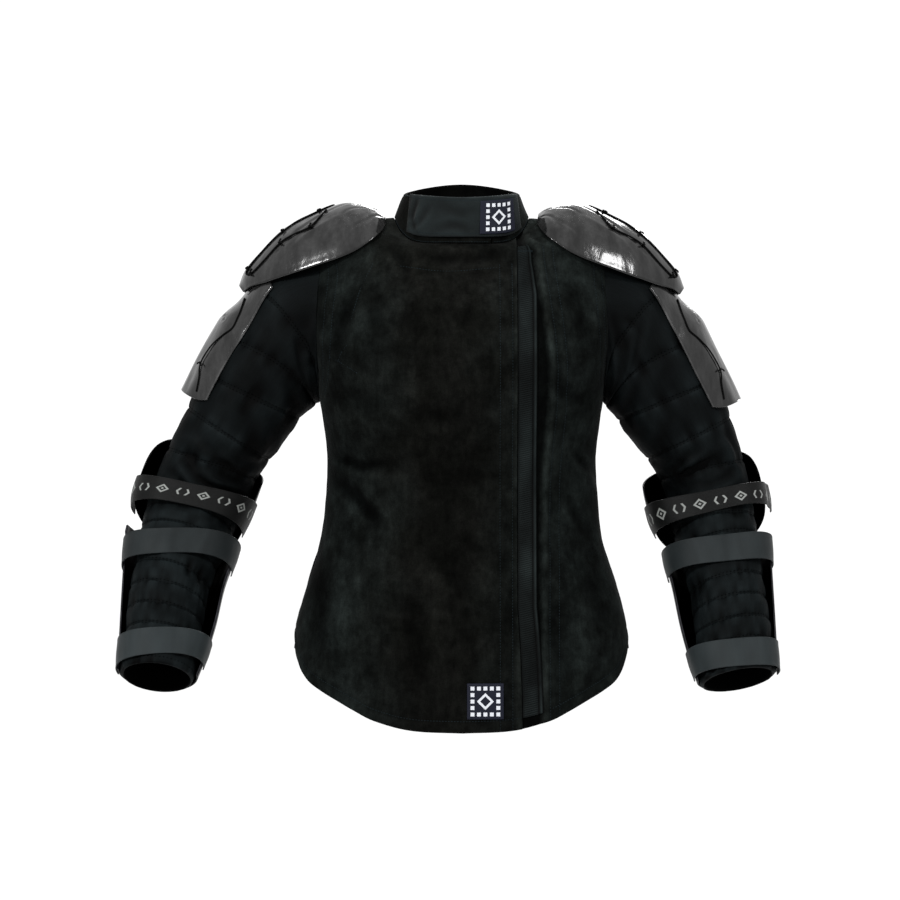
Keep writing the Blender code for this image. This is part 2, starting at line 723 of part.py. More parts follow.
def shoulder_plate(side):
    """The surface of one shoulder plate, by its place along the ridge and its turn to the front."""
    table = [(i / (len(SHOULDER_PLATE) - 1),) + row for i, row in enumerate(SHOULDER_PLATE)]
    full = math.radians(PLATE_TURN)
    sign, drop = SIDES[side], PLATE_DROP[side]

    def surface(place, turn):
        ridge_x, ridge_z, edge_x, edge_z, front, back = read_row(table, place)
        down = (1 - math.cos(full * turn)) / (1 - math.cos(full))
        out = math.sin(full * turn) / math.sin(full)
        x = ridge_x + (edge_x - ridge_x) * down
        z = ridge_z + (edge_z - ridge_z) * down
        return Vector((sign * x, -out * (front if turn > 0 else back), z - drop * ease(2 * place - 0.4)))

    def away(p):
        return p - Vector((sign * SHOULDER_CENTRE[0], SHOULDER_CENTRE[1], SHOULDER_CENTRE[2]))

    return lambda place, turn, out: with_normal(surface, place, turn, out, 0.01, 0.02, away)


def make_lace(name, marks, place):
    """A lace through its marks, kept on the surface by place(u, v), with a knot at some of them."""
    marks = [tuple(mark) for mark in marks]
    table = [(i,) + mark for i, mark in enumerate(marks)]
    steps = [i / LACE_STEPS for i in range((len(marks) - 1) * LACE_STEPS + 1)]
    curve = bpy.data.curves.new(name, "CURVE")
    curve.dimensions = "3D"
    curve.bevel_depth = LACE_RADIUS * MM
    curve.bevel_resolution = 2
    curve.use_fill_caps = True
    spline = curve.splines.new("POLY")
    spline.points.add(len(steps) - 1)
    for point, step in zip(spline.points, steps):
        u, v, _ = read_row(table, step)
        knot = marks[round(step)][2] and abs(step - round(step)) < 0.01
        swell = KNOT_SWELL if knot else 1.0
        at = place(u, v, LACE_GAP + LACE_RADIUS * swell) * MM
        point.co = (at.x, at.y, at.z, 1)
        point.radius = swell
    add_object(name, curve, "cord")


def make_side(side):
    sleeve = Sleeve(side)
    sleeve.make()
    make_arm_plate(sleeve)
    make_elbow_cup(sleeve)
    make_guard(sleeve)
    make_bands(sleeve)
    plate = shoulder_plate(side)
    places = spread(0, 1, 12)
    make_sheet(f"shoulder_plate_{side}", plate, places, spread(-1, 1, 9), PLASTIC, "shell_plastic")
    make_lace(f"shoulder_lace_{side}", SHOULDER_LACE, lambda u, v, out: plate(u, v, PLASTIC + out))

    def on_arm_plate(s, angle, out):
        return sleeve.point(s, angle, arm_plate_stand(side, s, angle) + PLASTIC + out)

    make_lace(f"arm_lace_{side}", ARM_LACE, on_arm_plate)


def make_material(name, colour, roughness, metallic):
    material = bpy.data.materials.new(name)
    material.use_nodes = True
    shader = material.node_tree.nodes["Principled BSDF"]
    shader.inputs["Base Color"].default_value = (*colour, 1)
    shader.inputs["Roughness"].default_value = roughness
    shader.inputs["Metallic"].default_value = metallic
    return material


for old in list(bpy.data.objects):
    bpy.data.objects.remove(old, do_unlink=True)
collection = bpy.data.collections.new("fencing_jacket")
bpy.context.scene.collection.children.link(collection)
materials = {name: make_material(name, *finish) for name, finish in FINISHES.items()}

make_body()
make_closing()
make_collar()
for arm in SIDES:
    make_side(arm)
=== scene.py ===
"""The fencing jacket as it looks: cloth, stitching, plates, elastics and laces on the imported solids.

Sizes are in millimetres and angles in degrees, as in the solids, and become metres in the meshes.
The jacket faces -Y. Angle 0 is the front of the body, or the outer side of a sleeve.
"""

import math

import bmesh
import bpy
import numpy as np
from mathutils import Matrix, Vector, noise


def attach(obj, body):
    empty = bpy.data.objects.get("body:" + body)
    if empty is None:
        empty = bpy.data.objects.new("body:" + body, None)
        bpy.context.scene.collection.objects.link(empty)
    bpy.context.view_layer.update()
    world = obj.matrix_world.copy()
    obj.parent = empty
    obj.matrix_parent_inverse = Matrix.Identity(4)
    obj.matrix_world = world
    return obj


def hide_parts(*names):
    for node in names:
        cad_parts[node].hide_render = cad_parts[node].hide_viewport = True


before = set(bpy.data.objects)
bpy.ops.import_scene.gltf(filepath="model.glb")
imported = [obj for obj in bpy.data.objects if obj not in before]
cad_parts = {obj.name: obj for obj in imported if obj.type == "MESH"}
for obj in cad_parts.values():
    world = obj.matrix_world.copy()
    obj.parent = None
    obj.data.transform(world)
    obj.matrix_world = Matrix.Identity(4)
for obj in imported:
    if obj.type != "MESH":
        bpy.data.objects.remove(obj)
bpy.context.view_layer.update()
MM = 0.001

# Walls and clearances
SEAM = 0.3
SUEDE = 2.2
SUEDE_SOLID = 2.5
COLLAR_WALL = 3.5
FLAP_WALL = 3.5
LABEL = 1.0
TAPE = 1.6
LINING = 2.5
QUILT = 2.5
PLASTIC = 3.0
ELASTIC = 2.0
LACE_RADIUS = 1.3

# Rings of the body: level, half width, front depth, back depth, front drop, back drop, squareness
BODY_RINGS = (
    (-650, 213, 133, 127, 0, 0, 2.3),
    (-590, 213, 131, 125, 0, 0, 2.3),
    (-540, 209.5, 128, 121, 0, 0, 2.3),
    (-500, 204, 124, 114, 0, 0, 2.3),
    (-450, 190.5, 118, 105, 0, 0, 2.3),
    (-400, 175.5, 112, 95, 0, 0, 2.3),
    (-350, 169.5, 109, 89, 0, 0, 2.3),
    (-300, 167.5, 114, 90, 0, 0, 2.3),
    (-250, 173, 125, 97, 0, 0, 2.4),
    (-200, 181, 132, 106, 0, 0, 2.6),
    (-150, 188, 127, 111, -3, -5, 2.8),
    (-100, 190, 114, 108, -8, -10, 2.8),
    (-60, 188, 97, 100, -18, -18, 2.6),
    (-26, 181, 82, 89, -31, -22, 2.5),
    (-13, 168, 76, 82, -34, -17, 2.4),
    (-6, 144, 72, 76, -36, -10, 2.3),
    (-2, 113, 69, 70, -37, -3, 2.3),
    (0, 84, 66, 64, -37, 2, 2.3),
)
DROP_POWER = 8
# The shirt-tail hem: share of the way to the side, height in front and height behind
HEM_EDGE = (
    (0.00, -630, -628),
    (0.29, -627, -625),
    (0.50, -616, -616),
    (0.61, -605, -606),
    (0.71, -594, -596),
    (0.81, -583, -586),
    (0.885, -573, -577),
    (0.93, -562, -568),
    (0.96, -550, -558),
    (0.98, -539, -550),
    (1.00, -524, -538),
)
HEM_REFERENCE = -560
HEM_TOP = -480
ARMHOLE_LEVEL = -127
ARMHOLE_HALF = 101
ARMHOLE_DEPTH = 62

# Front closing
CLOSING_X = 67.0
UNDERLAP_X = 40.0
LAYER = SUEDE_SOLID + 0.6
TAPE_FROM = 67.6
TAPE_TO = 91.5
TAPE_TOP_LEVEL = -6
TAPE_FOOT_SHARE = 0.09
TAPE_PITCH = 0.75
TAPE_WIDTH = 24
TAPE_RIB = 2.6
TAPE_GROOVE = 18.6
TAPE_ROLL = 21.6
ROLLED_EDGE = (
    (-640, 94), (-440, 94), (-326, 95), (-244, 102), (-200, 103.5), (-150, 100), (-97, 94), (-36, 88),
    (-10, 85), (0, 72),
)
ROLL_RISE = 8.0

# Main folds at the waist: angle and level at the start, then at the end, half width, depth
WAIST_FOLDS = (
    (-66, -300, -28, -318, 17, 4.0),
    (-74, -345, -36, -388, 19, 3.5),
    (58, -296, 86, -318, 16, 3.0),
    (108, -306, 150, -332, 18, 3.5),
    (212, -330, 250, -300, 18, 4.0),
)

# Sleeves: outer x, outer z, inner x, inner z, middle y, half depth, forward lean
SLEEVES = {
    "right": (
        (181, -26, 177, -228, 0, 62, 0),
        (240, -56, 181, -232, 0, 66, 0),
        (278, -117, 188, -238, 2, 65, 0),
        (312, -174, 214, -268, 5, 62, 0),
        (340, -230, 238, -301, 9, 59, 0),
        (368, -285, 256, -325, 14, 57, 4),
        (387, -335, 270, -357, 17, 56, 13),
        (398, -378, 288, -400, -1, 53, 28),
        (404, -432, 309, -453, -36, 48, 32),
        (408, -486, 316, -501, -68, 45, 32),
        (412, -561, 323, -567, -115, 42, 32),
    ),
    "left": (
        (181, -26, 177, -228, 0, 62, 0),
        (239, -58, 180, -234, 0, 66, 0),
        (277, -121, 186, -241, 2, 64, 0),
        (304, -176, 205, -267, 5, 61, 0),
        (333, -237, 229, -297, 9, 58, 0),
        (352, -294, 246, -322, 13, 56, 4),
        (363, -343, 258, -354, 15, 54, 12),
        (368, -391, 268, -408, -8, 52, 22),
        (372, -442, 280, -458, -33, 48, 25),
        (376, -491, 285, -507, -57, 45, 25),
        (381, -562, 290, -576, -90, 42, 25),
    ),
}
SIDES = {"right": -1, "left": 1}
ROOT_END = 33
ROOT_FILL = 15
# Quilting lines of the upper arm at its outer side, and how much nearer the armhole they are inside
UPPER_LINES = (56, 102, 146, 186, 230, 276)
LINE_SLANT = ((0, 26), (50, 27), (100, 22), (150, 11), (190, 0), (600, 0))
FOREARM_PITCH = 28
FOREARM_LAST = {"right": 504, "left": 498}
FOREARM_COUNT = 8
ELBOW_FOLDS = ((226, 52, 262, 168, 15, 6.0), (196, 40, 214, 100, 12, 3.0), (196, 168, 214, 120, 12, 3.0))
FOLD_INSIDE = 0.8

# Shoulder plates: ridge x, ridge z, edge x, edge z, front depth, back depth
SHOULDER_PLATE = (
    (97, 3, 95, -9, 26, 62),
    (109, 10, 105, -28, 58, 80),
    (129, 15, 125, -44, 68, 86),
    (151, 15, 147, -55, 72, 87),
    (187, 1, 181, -66, 68, 80),
    (221, -16, 213, -76, 60, 66),
    (247, -42, 240, -84, 47, 50),
    (267, -65, 259, -88, 32, 33),
    (276, -86, 270, -93, 16, 17),
)
SHOULDER_CENTRE = (180, 0, -90)
PLATE_TURN = 80
PLATE_SPAN = 220
PLATE_REACH = 100
PLATE_HOLE = (0.66, 0.61)
PLATE_DROP = {"right": 0, "left": 3}

# How the forms curve: the side seam's radius, the waist's length to a degree, and the plates' shares
SIDE_RADIUS = 170
WAIST_MM_PER_DEGREE = 2.6
COLLAR_SQUARENESS = 2.3
CUP_REACH = 0.97
CUP_FADE = 1.06
GUARD_TAPER = 1.2
GUARD_TOP_DIP = 10

# Upper-arm plates, elbow cups and forearm guards, in the sleeve's own lengths and angles
ARM_PLATE_FROM = 42
ARM_PLATE_TO = 166
ARM_PLATE_ANGLE = 51
ARM_PLATE_HALF = 45
ARM_PLATE_EYELETS = ((12, 43), (17, 46), (-14, 50))
ARM_PLATE_EDGE = 0.1
ARM_PLATE_CROWN = {"right": 15.0, "left": 18.0}
ARM_PLATE_UNDER = 56
ARM_PLATE_FLAT = 0.07
ARM_PLATE_RISE = 42
CUP_MIDDLE = 265
CUP_HALF = 53
CUP_ANGLE = 97
CUP_ROUND = 2.6
CUP_EDGE = 2.0
CUP_BACK = 13.0
CUP_STAND = {"right": (15, 5), "left": (11, 22)}
GUARD_FROM = 324
GUARD_SHORT = 5
GUARD_ANGLE = 96
GUARD_STAND = {"right": (15, 9), "left": (12, 14)}
GUARD_BACK = 6.0
GUARD_END = 1.0
GUARD_BULGE = {"right": 9, "left": 8}

# Elastic bands: length along the sleeve at the outer side, in front and at the inner side, width
BANDS = {
    "elbow_strap": {"right": (286, 290, 290, 41), "left": (273, 283, 287, 34)},
    "forearm_strap_upper": {"right": (375, 366, 346, 36), "left": (353, 355, 345, 36)},
    "forearm_strap_lower": {"right": (507, 503, 491, 36), "left": (490, 490, 482, 35)},
}
BAND_WRAP = 14
BAND_FLAT = 13
BAND_REST = {"elbow_strap": 0.2, "forearm_strap_upper": 0.8, "forearm_strap_lower": 0.8}
BAND_FLARE = {"elbow_strap": {"right": 0, "left": 8}}
BAND_FLARE_ANGLES = (10, -14)
CUP_SHADE = {"right": 0.24, "left": 0.14}
BAND_CLEAR = {"elbow_strap": 1.5, "forearm_strap_upper": 0.8, "forearm_strap_lower": 0.5}

# Collar, its closing flap and the labels
COLLAR_HALF = 72
COLLAR_FRONT = 69
COLLAR_BACK = 60
COLLAR_TOP = {"front": 17, "side": 30, "back": 48}
COLLAR_TURN = 1.2
COLLAR_REACH = 55
FLAP_LENGTH = 110
COLLAR_SPLIT = 31
FLAP_ANGLES = (-56, 62)
FLAP_REACH = (0.14, 1.04)
FLAP_GAP = 0.8
COLLAR_LABEL_ANGLES = (18, 53)
COLLAR_LABEL_REACH = (0.20, 0.94)
HEM_LABEL_X = (6, 50)
HEM_LABEL_Z = (-613, -570)

# Laces: place along the ridge and turn to the front, or length along the sleeve and angle, knot or not
SHOULDER_LACE = (
    (0.40, 0.00, 0), (0.46, 0.12, 1), (0.54, 0.17, 0), (0.62, 0.28, 1), (0.74, 0.31, 0), (0.85, 0.42, 1),
    (0.875, 0.55, 0), (0.84, 0.68, 1), (0.74, 0.61, 0), (0.64, 0.52, 1), (0.57, 0.50, 0), (0.50, 0.49, 1),
    (0.46, 0.38, 0), (0.43, 0.24, 0),
)
ARM_LACE = (
    (65, 22, 0), (71, 29, 0), (78, 34, 0), (90, 38, 0), (104, 33, 0), (122, 27, 0), (141, 26, 1),
    (153, 33, 0), (167, 38, 0),
)

# Free ends of a lace's knots: the way each leans, in radians, and its length
SHOULDER_TAILS = (0.9, 6.5), (-1.2, 5.5)
ARM_TAILS = (1.1, 8.0), (-1.3, 7.0)
SHOULDER_LACE_SHARE = 0.85
ARM_LACE_SHARE = 0.75

# Rows of stitches: distances from the hem, from the armhole's seam, from the middle and from the rolled edge
HEM_ROW = 14
ARMHOLE_ROWS = {"right": (19.5, 34.0), "left": (8.5, 22.0), "back": (9.0, 22.0)}
ARMHOLE_SPAN = (-230, -50)
PLACKET_ROWS = (46.0, 61.0)
ROLLED_ROWS = (12.5, 24.0)
CHEST_ROWS = (
    (((-76, -66), (-20, -73), (46, -68)), 40),
    (((-162, -176), (-144, -186), (-124, -199)), 20),
    (((-139, -163), (-146, -172), (-150, -182)), 12),
    (((-108, -62), (-124, -98), (-134, -132)), 24),
)

# Lights: place in metres, size in metres, power in watts, and whether a gloss shows it
LIGHTS = {
    "key": ((-1.5, -2.2, 1.0), 0.5, 100, True),
    "fill": ((1.6, -2.0, 1.2), 0.7, 60, True),
    "top": ((0.0, 0.2, 2.2), 1.7, 170, False),
    "back": ((0.6, 2.4, 1.2), 1.4, 60, True),
}
LIT_POINT = (0, 0, -0.25)
FLOOR_LEVEL = -3.0
FLOOR_RADIUS = 60

# Camera
CAMERA_AT = (-0.0144, -3.2, -0.290)
LENS = 102.4
SENSOR = 36


def curve(table, keys):
    """The table's columns at these keys, each on a smooth curve through its rows."""
    rows = np.array(table, float)
    keys = np.asarray(keys, float)
    at = np.clip(np.searchsorted(rows[:, 0], keys, side="right") - 1, 0, len(rows) - 2)
    before, start = rows[np.maximum(at - 1, 0)], rows[at]
    end, after = rows[at + 1], rows[np.minimum(at + 2, len(rows) - 1)]
    span = (end - start)[..., :1]
    t = np.clip((keys[..., None] - start[..., :1]) / span, 0, 1)
    slope_low = span * (end - before) / (end - before)[..., :1]
    slope_high = span * (after - start) / (after - start)[..., :1]
    values = (
        start * (1 + 2 * t) * (1 - t) ** 2
        + slope_low * t * (1 - t) ** 2
        + end * t * t * (3 - 2 * t)
        + slope_high * t * t * (t - 1)
    )
    return np.moveaxis(values, -1, 0)[1:]


def ease(value):
    """From 0 to 1 along a smooth step."""
    t = np.clip(value, 0, 1)
    return t * t * (3 - 2 * t)


def bell(distance, width):
    """1 on a line, falling to 0 on both sides of it."""
    return np.exp(-((distance / width) ** 2))


def net(rows, columns):
    """Two grids, of the rows' values and of the columns'."""
    return np.meshgrid(rows, columns, indexing="ij")


def xyz(x, y, z):
    return np.stack(np.broadcast_arrays(x, y, z), -1).astype(float)


def unit(vectors):
    return vectors / np.maximum(np.linalg.norm(vectors, axis=-1, keepdims=True), 1e-9)


def groove(u, v, start, end, half_width):
    """How deep in a groove from start to end the points are, from 0 to 1."""
    along_u, along_v = end[0] - start[0], end[1] - start[1]
    length = math.hypot(along_u, along_v)
    t = ((u - start[0]) * along_u + (v - start[1]) * along_v) / length ** 2
    off = np.abs((u - start[0]) * along_v - (v - start[1]) * along_u) / length
    return ease(np.minimum(t, 1 - t) * 4 + 0.5) * np.exp(-((off / half_width) ** 2) * 1.5)


def with_normal(point, u, v, out, step_u, step_v, away):
    """The surface's points at u, v, moved out along the normal that points as away does."""
    here = point(u, v)
    across = point(u + step_u, v) - point(u - step_u, v)
    normal = unit(np.cross(across, here - point(u, v - step_v)))
    facing = np.sign((normal * away(here)).sum(-1, keepdims=True))
    return here + normal * facing * np.asarray(out)[..., None]


def body_ring(angle, level):
    """Points on the body's outer surface. Angle 0 is the front and 90 the wearer's left."""
    half, front, back, front_drop, back_drop, power = curve(BODY_RINGS, level)
    sine, cosine = np.sin(np.radians(angle)), np.cos(np.radians(angle))
    before = cosine > 0
    depth = np.where(before, front, back)
    drop = np.where(before, front_drop * (1 - np.abs(sine) ** DROP_POWER), back_drop * cosine ** 2)
    radius = (np.abs(sine / half) ** power + np.abs(cosine / depth) ** power) ** (-1 / power)
    return xyz(radius * sine, -radius * cosine, level + drop)


def body(angle, level, out=0.0):
    """The body's surface with its waist folds, moved out along its normal."""
    turned = (angle + 90) % 360 - 90
    out = np.asarray(out) + 0.0 * turned
    for start, start_level, end, end_level, half_width, depth in WAIST_FOLDS:
        ends = (start * WAIST_MM_PER_DEGREE, start_level), (end * WAIST_MM_PER_DEGREE, end_level)
        out = out - depth * groove(turned * WAIST_MM_PER_DEGREE, level, *ends, half_width)

    def away(p):
        return xyz(p[..., 0], p[..., 1], np.where(p[..., 2] > -120, 90, 0))

    return with_normal(body_ring, angle, level, out, 0.5, 1.0, away)


def angle_at(level, x=None, y=None):
    """The angle from the front (from the back for a positive y) where the ring passes x or y."""
    half, front, back, _, _, power = curve(BODY_RINGS, level)
    depth = front if y is None else np.where(np.asarray(y) > 0, back, front)
    if x is None:
        x = half * (1 - np.abs(y / depth) ** power) ** (1 / power)
    else:
        y = depth * (1 - np.abs(x / half) ** power) ** (1 / power)
    return np.degrees(np.arctan2(x, np.abs(y)))


def armhole_angle(level, side_y):
    """The angle of the armhole's edge from the front or back, and 90 at the side and shoulder seams."""
    rise = np.clip((level - ARMHOLE_LEVEL) / ARMHOLE_HALF, -1, 1)
    seam = 90 - math.degrees(SEAM / 2 / SIDE_RADIUS)
    at_edge = angle_at(level, y=side_y * ARMHOLE_DEPTH * np.sqrt(1 - rise * rise))
    return np.where(np.abs(rise) >= 1, seam, np.minimum(seam, at_edge))


def hem_level(angle, behind):
    """The hem's height at these angles."""
    widest = body_ring(np.array(90.0), np.array(float(HEM_REFERENCE)))[0]
    side = np.minimum(1.0, np.abs(body_ring(angle, HEM_REFERENCE + 0.0 * angle)[..., 0]) / widest)
    return curve(HEM_EDGE, side)[1 if behind else 0]


def rolled_edge(height):
    return curve(ROLLED_EDGE, height)[0]


def left_front_out(angle, level):
    """The left front lies one layer down under the closing, and rises at its rolled edge."""
    x = body_ring(angle, level)[..., 0]
    return -LAYER * (1 - ease((x - rolled_edge(level)) / ROLL_RISE))


def tape_end(level):
    return np.minimum(TAPE_TO, rolled_edge(level) - 2)


def spaced(low, high, pitch, close=()):
    """Values from low to high about a pitch apart, with closer ones at both ends."""
    count = max(2, round(abs(high - low) / pitch))
    values = set(np.linspace(low, high, count + 1).tolist())
    sign = 1 if high > low else -1
    for step in close:
        values |= {low + sign * step, high - sign * step}
    ordered = sorted(values, reverse=high < low)
    kept = [ordered[0]]
    for value in ordered[1:-1]:
        if abs(value - kept[-1]) > 0.24 and abs(ordered[-1] - value) > 0.24:
            kept.append(value)
    return np.array(kept + [ordered[-1]])


RIM_STEPS = (0.35, 0.9, 1.7)


def even(low, high, pitch):
    """Shares of the high value, closer together at both ends."""
    return spaced(low, high, pitch, RIM_STEPS) / high


def speckle(points, size, seed, depth=2):
    """Soft noise at these points, from about -1 to 1, with features of this size in millimetres."""
    flat = (np.asarray(points).reshape(-1, 3) / size + seed * 7.31).tolist()
    total = np.zeros(len(flat))
    for octave in range(depth):
        scale = 2.1 ** octave
        total += np.array([noise.noise((x * scale, y * scale, z * scale)) for x, y, z in flat]) / scale
    return total.reshape(np.asarray(points).shape[:-1])


def smooth_line(marks, count):
    """Points evenly spread along a smooth line through its marks."""
    table = [(i,) + tuple(mark) for i, mark in enumerate(marks)]
    fine = np.stack(curve(table, np.linspace(0, len(marks) - 1, 40 * len(marks))), -1)
    length = np.concatenate([[0], np.cumsum(np.linalg.norm(np.diff(fine, axis=0), axis=1))])
    at = np.linspace(0, length[-1], count)
    return np.stack([np.interp(at, length, fine[:, i]) for i in range(fine.shape[1])], -1)


CREASE_POINTS = 110


def crease(u, v, marks, width, depth, lip=0.4):
    """Height of a soft trough along a smooth line through its marks, with a low ridge on each side."""
    line = smooth_line(marks, CREASE_POINTS)
    away = (u[..., None] - line[:, 0]) ** 2 + (v[..., None] - line[:, 1]) ** 2
    nearest = away.argmin(-1)
    off = np.sqrt(away.min(-1)) / width
    fade = np.sin(np.pi * np.clip(nearest / (CREASE_POINTS - 1), 0.03, 0.97)) ** 0.8
    return depth * fade * (lip * bell(off - 1.7, 0.75) - bell(off, 1))


def creases(u, v, table):
    """Height of all the creases in a table: marks, width, depth."""
    return sum(crease(u, v, marks, width, depth) for marks, width, depth in table)


class Grid:
    """A fine wall over a grid of points, with its outer surface kept for what is sewn on it."""

    def __init__(self, middle, thickness, centre, relief=0.0, closed=False, follow=1.0, rim=None):
        self.closed = closed
        wide = np.concatenate([middle[:, -1:], middle, middle[:, :1]], 1) if closed else middle
        across, along = np.gradient(wide, axis=1), np.gradient(wide, axis=0)
        normal = unit(np.cross(across, along))
        normal = normal[:, 1:-1] if closed else normal
        self.flipped = (normal * (middle - centre)).sum() < 0
        self.normal = -normal if self.flipped else normal
        self.left = self.lengths(middle, 1)
        self.up = self.lengths(middle, 0)
        free = np.minimum(self.up, self.up[-1:] - self.up)
        if not closed:
            free = np.minimum(free, np.minimum(self.left, self.left[:, -1:] - self.left))
        round_off = np.clip(free / (rim or thickness / 2), 0, 1)
        half = thickness / 2 * np.maximum(np.sqrt(1 - (1 - round_off) ** 2), 0.12)
        relief = np.broadcast_to(relief, half.shape) * np.clip(free / 1.5, 0, 1)
        self.outer = middle + self.normal * (half + relief)[..., None]
        self.inner = middle + self.normal * (relief * follow - half)[..., None]

    @staticmethod
    def lengths(points, axis):
        steps = np.linalg.norm(np.diff(points, axis=axis), axis=-1)
        start = np.zeros_like(np.take(steps, [0], axis))
        return np.concatenate([start, np.cumsum(steps, axis)], axis)

    def quads(self):
        """Vertex numbers of the outer, inner and edge faces."""
        rows, columns = self.outer.shape[:2]
        number = np.arange(rows * columns).reshape(rows, columns)
        after = np.roll(number, -1, 1) if self.closed else number[:, 1:]
        here = number if self.closed else number[:, :-1]
        faces = np.stack([here[:-1], after[:-1], after[1:], here[1:]], -1).reshape(-1, 4)
        size = rows * columns
        parts = [faces, faces[:, ::-1] + size]
        for row, turn in ((0, 1), (-1, -1)):
            edge = np.stack([after[row], here[row], here[row] + size, after[row] + size], -1)
            parts.append(edge[:, ::turn])
        if not self.closed:
            for column, turn in ((0, -1), (-1, 1)):
                low, high = number[:-1, column], number[1:, column]
                parts.append(np.stack([high, low, low + size, high + size], -1)[:, ::turn])
        faces = np.concatenate(parts)
        return faces[:, ::-1] if self.flipped else faces

    def sample(self, rows, columns, lift=0.0):
        """Points and normals on the outer surface at these row and column numbers, with fractions."""
        r0 = np.clip(np.floor(rows).astype(int), 0, self.outer.shape[0] - 2)
        count = self.outer.shape[1]
        c0 = np.floor(columns).astype(int)
        c0 = c0 % count if self.closed else np.clip(c0, 0, count - 2)
        c1 = (c0 + 1) % count
        fr, fc = (rows - r0)[..., None], (columns - np.floor(columns))[..., None]
        if not self.closed:
            fc = (columns - c0)[..., None]
        found = []
        for grid in (self.outer, self.normal):
            low = grid[r0, c0] * (1 - fc) + grid[r0, c1] * fc
            high = grid[r0 + 1, c0] * (1 - fc) + grid[r0 + 1, c1] * fc
            found.append(low * (1 - fr) + high * fr)
        return found[0] + unit(found[1]) * lift, unit(found[1])


def add_mesh(name, points, faces, material, uv=None, angle=50, wear_and_painted_light=None):
    """A mesh piece that rides on the root body. Its points are in millimetres."""
    mesh = bpy.data.meshes.new(name)
    mesh.from_pydata((np.asarray(points) * MM).tolist(), [], faces)
    mesh.update()
    mesh.shade_smooth()
    mesh.set_sharp_from_angle(angle=math.radians(angle))
    # A point attribute of painted light and shade that the finishes read, on cloth partly rubbing
    light_and_wear_attribute = mesh.attributes.new("wear_and_painted_light", "FLOAT", "POINT")
    light_and_wear_attribute.data.foreach_set("value", np.full(len(mesh.vertices), 0.5) if wear_and_painted_light is None else np.ravel(wear_and_painted_light))
    if uv is not None:
        layer = mesh.uv_layers.new(name="cloth")
        layer.data.foreach_set("uv", np.asarray(uv, np.float32).ravel())
    piece = bpy.data.objects.new(name, mesh)
    bpy.context.scene.collection.objects.link(piece)
    mesh.materials.append(material)
    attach(piece, "root")
    return piece


def add_wall(name, grid, slot, node, uv=None, wear_and_painted_light=0.5, inside=0.5, material=None):
    """The grid's wall as a piece that replaces a node. uv is two arrays in millimetres.

    The per-point shading values go from 0 in the hollows and shaded edges, painted dark as shade, to 1 on
    ridges and rims, painted light as highlights and on cloth partly as nap lightened by rubbing.
    """
    faces = grid.quads()
    u, v = (grid.left, grid.up) if uv is None else uv
    flat = np.stack([np.tile(np.ravel(u), 2), np.tile(np.ravel(v), 2)], -1)[faces]
    if grid.closed:
        turn = flat[..., 0].max() * grid.outer.shape[1] / (grid.outer.shape[1] - 1)
        wraps = np.ptp(flat[..., 0], axis=1) > turn / 2
        short = wraps[:, None] & (flat[..., 0] < turn / 2)
        flat[..., 0] = np.where(short, flat[..., 0] + turn, flat[..., 0])
    points = np.concatenate([grid.outer.reshape(-1, 3), grid.inner.reshape(-1, 3)])
    wear_and_painted_light = np.clip(np.broadcast_to(wear_and_painted_light, grid.outer.shape[:2]), 0, 1)
    painted_shading_and_wear = np.concatenate([wear_and_painted_light.ravel(), np.full(wear_and_painted_light.size, float(inside))])
    uv = flat.reshape(-1, 2) * MM
    piece = add_mesh(name, points, faces.tolist(), material or finishes[slot], uv=uv, wear_and_painted_light=painted_shading_and_wear)
    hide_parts(node)


# Sewing thread
STITCH_PITCH = 3.6
STITCH_LENGTH = 2.9
STITCH_RADIUS = 0.42
SLEEVE_STITCH = (4.8, 2.7, 0.34)


def stitch_rows(name, rows, thread, slot, pitch=STITCH_PITCH, length=STITCH_LENGTH, radius=STITCH_RADIUS):
    """Rows of sewn stitches as one piece. Each row is points and the cloth's normals along a line."""
    template = []
    for along, girth, sink in ((-0.5, 0, -1.0), (-0.3, 1, -0.15), (0.3, 1, -0.15), (0.5, 0, -1.0)):
        for side, rise in ((1, 0), (0, 1), (-1, 0), (0, -1)) if girth else ((0, 0),):
            template.append((along * length, side * radius, (rise * 0.8 + sink) * radius))
    template = np.array(template)
    faces = [(0, 2, 1), (0, 3, 2), (0, 4, 3), (0, 1, 4), (9, 5, 6), (9, 6, 7), (9, 7, 8), (9, 8, 5)]
    sides = [(1 + i, 1 + (i + 1) % 4, 5 + (i + 1) % 4, 5 + i) for i in range(4)]
    points, numbers = [], []
    for line, normals in rows:
        steps = np.concatenate([[0], np.cumsum(np.linalg.norm(np.diff(line, axis=0), axis=1))])
        at = np.arange(pitch / 2, steps[-1] - pitch / 4, pitch)
        if not len(at):
            continue
        centre = np.stack([np.interp(at, steps, line[:, i]) for i in range(3)], -1)
        up = unit(np.stack([np.interp(at, steps, normals[:, i]) for i in range(3)], -1))
        ahead = np.stack([np.interp(at + 0.5, steps, line[:, i]) for i in range(3)], -1)
        behind = np.stack([np.interp(at - 0.5, steps, line[:, i]) for i in range(3)], -1)
        along = unit(ahead - behind)
        side = np.cross(up, along)
        for c, a, s, n in zip(centre, along, side, up):
            numbers.append(len(points) * 10)
            points.append(c + template[:, :1] * a + template[:, 1:2] * s + template[:, 2:] * n)
    vertices = np.concatenate(points)
    mesh_faces = [tuple(i + start for i in face) for start in numbers for face in faces + sides]
    add_mesh(name, vertices, mesh_faces, finishes[thread], angle=180)


def crossing(field, value, axis):
    """Where a field that grows along an axis passes a value: row and column numbers, with fractions."""
    lines = field if axis == 1 else field.T
    places = np.arange(lines.shape[1])
    if lines[0, 0] > lines[0, -1]:
        lines, places = lines[:, ::-1], places[::-1]
    found = np.array([np.interp(value, line, places, left=-1, right=-1) for line in lines])
    other = np.arange(len(lines), dtype=float)
    keep = found >= 0
    pair = (other[keep], found[keep])
    return pair if axis == 1 else (pair[1], pair[0])


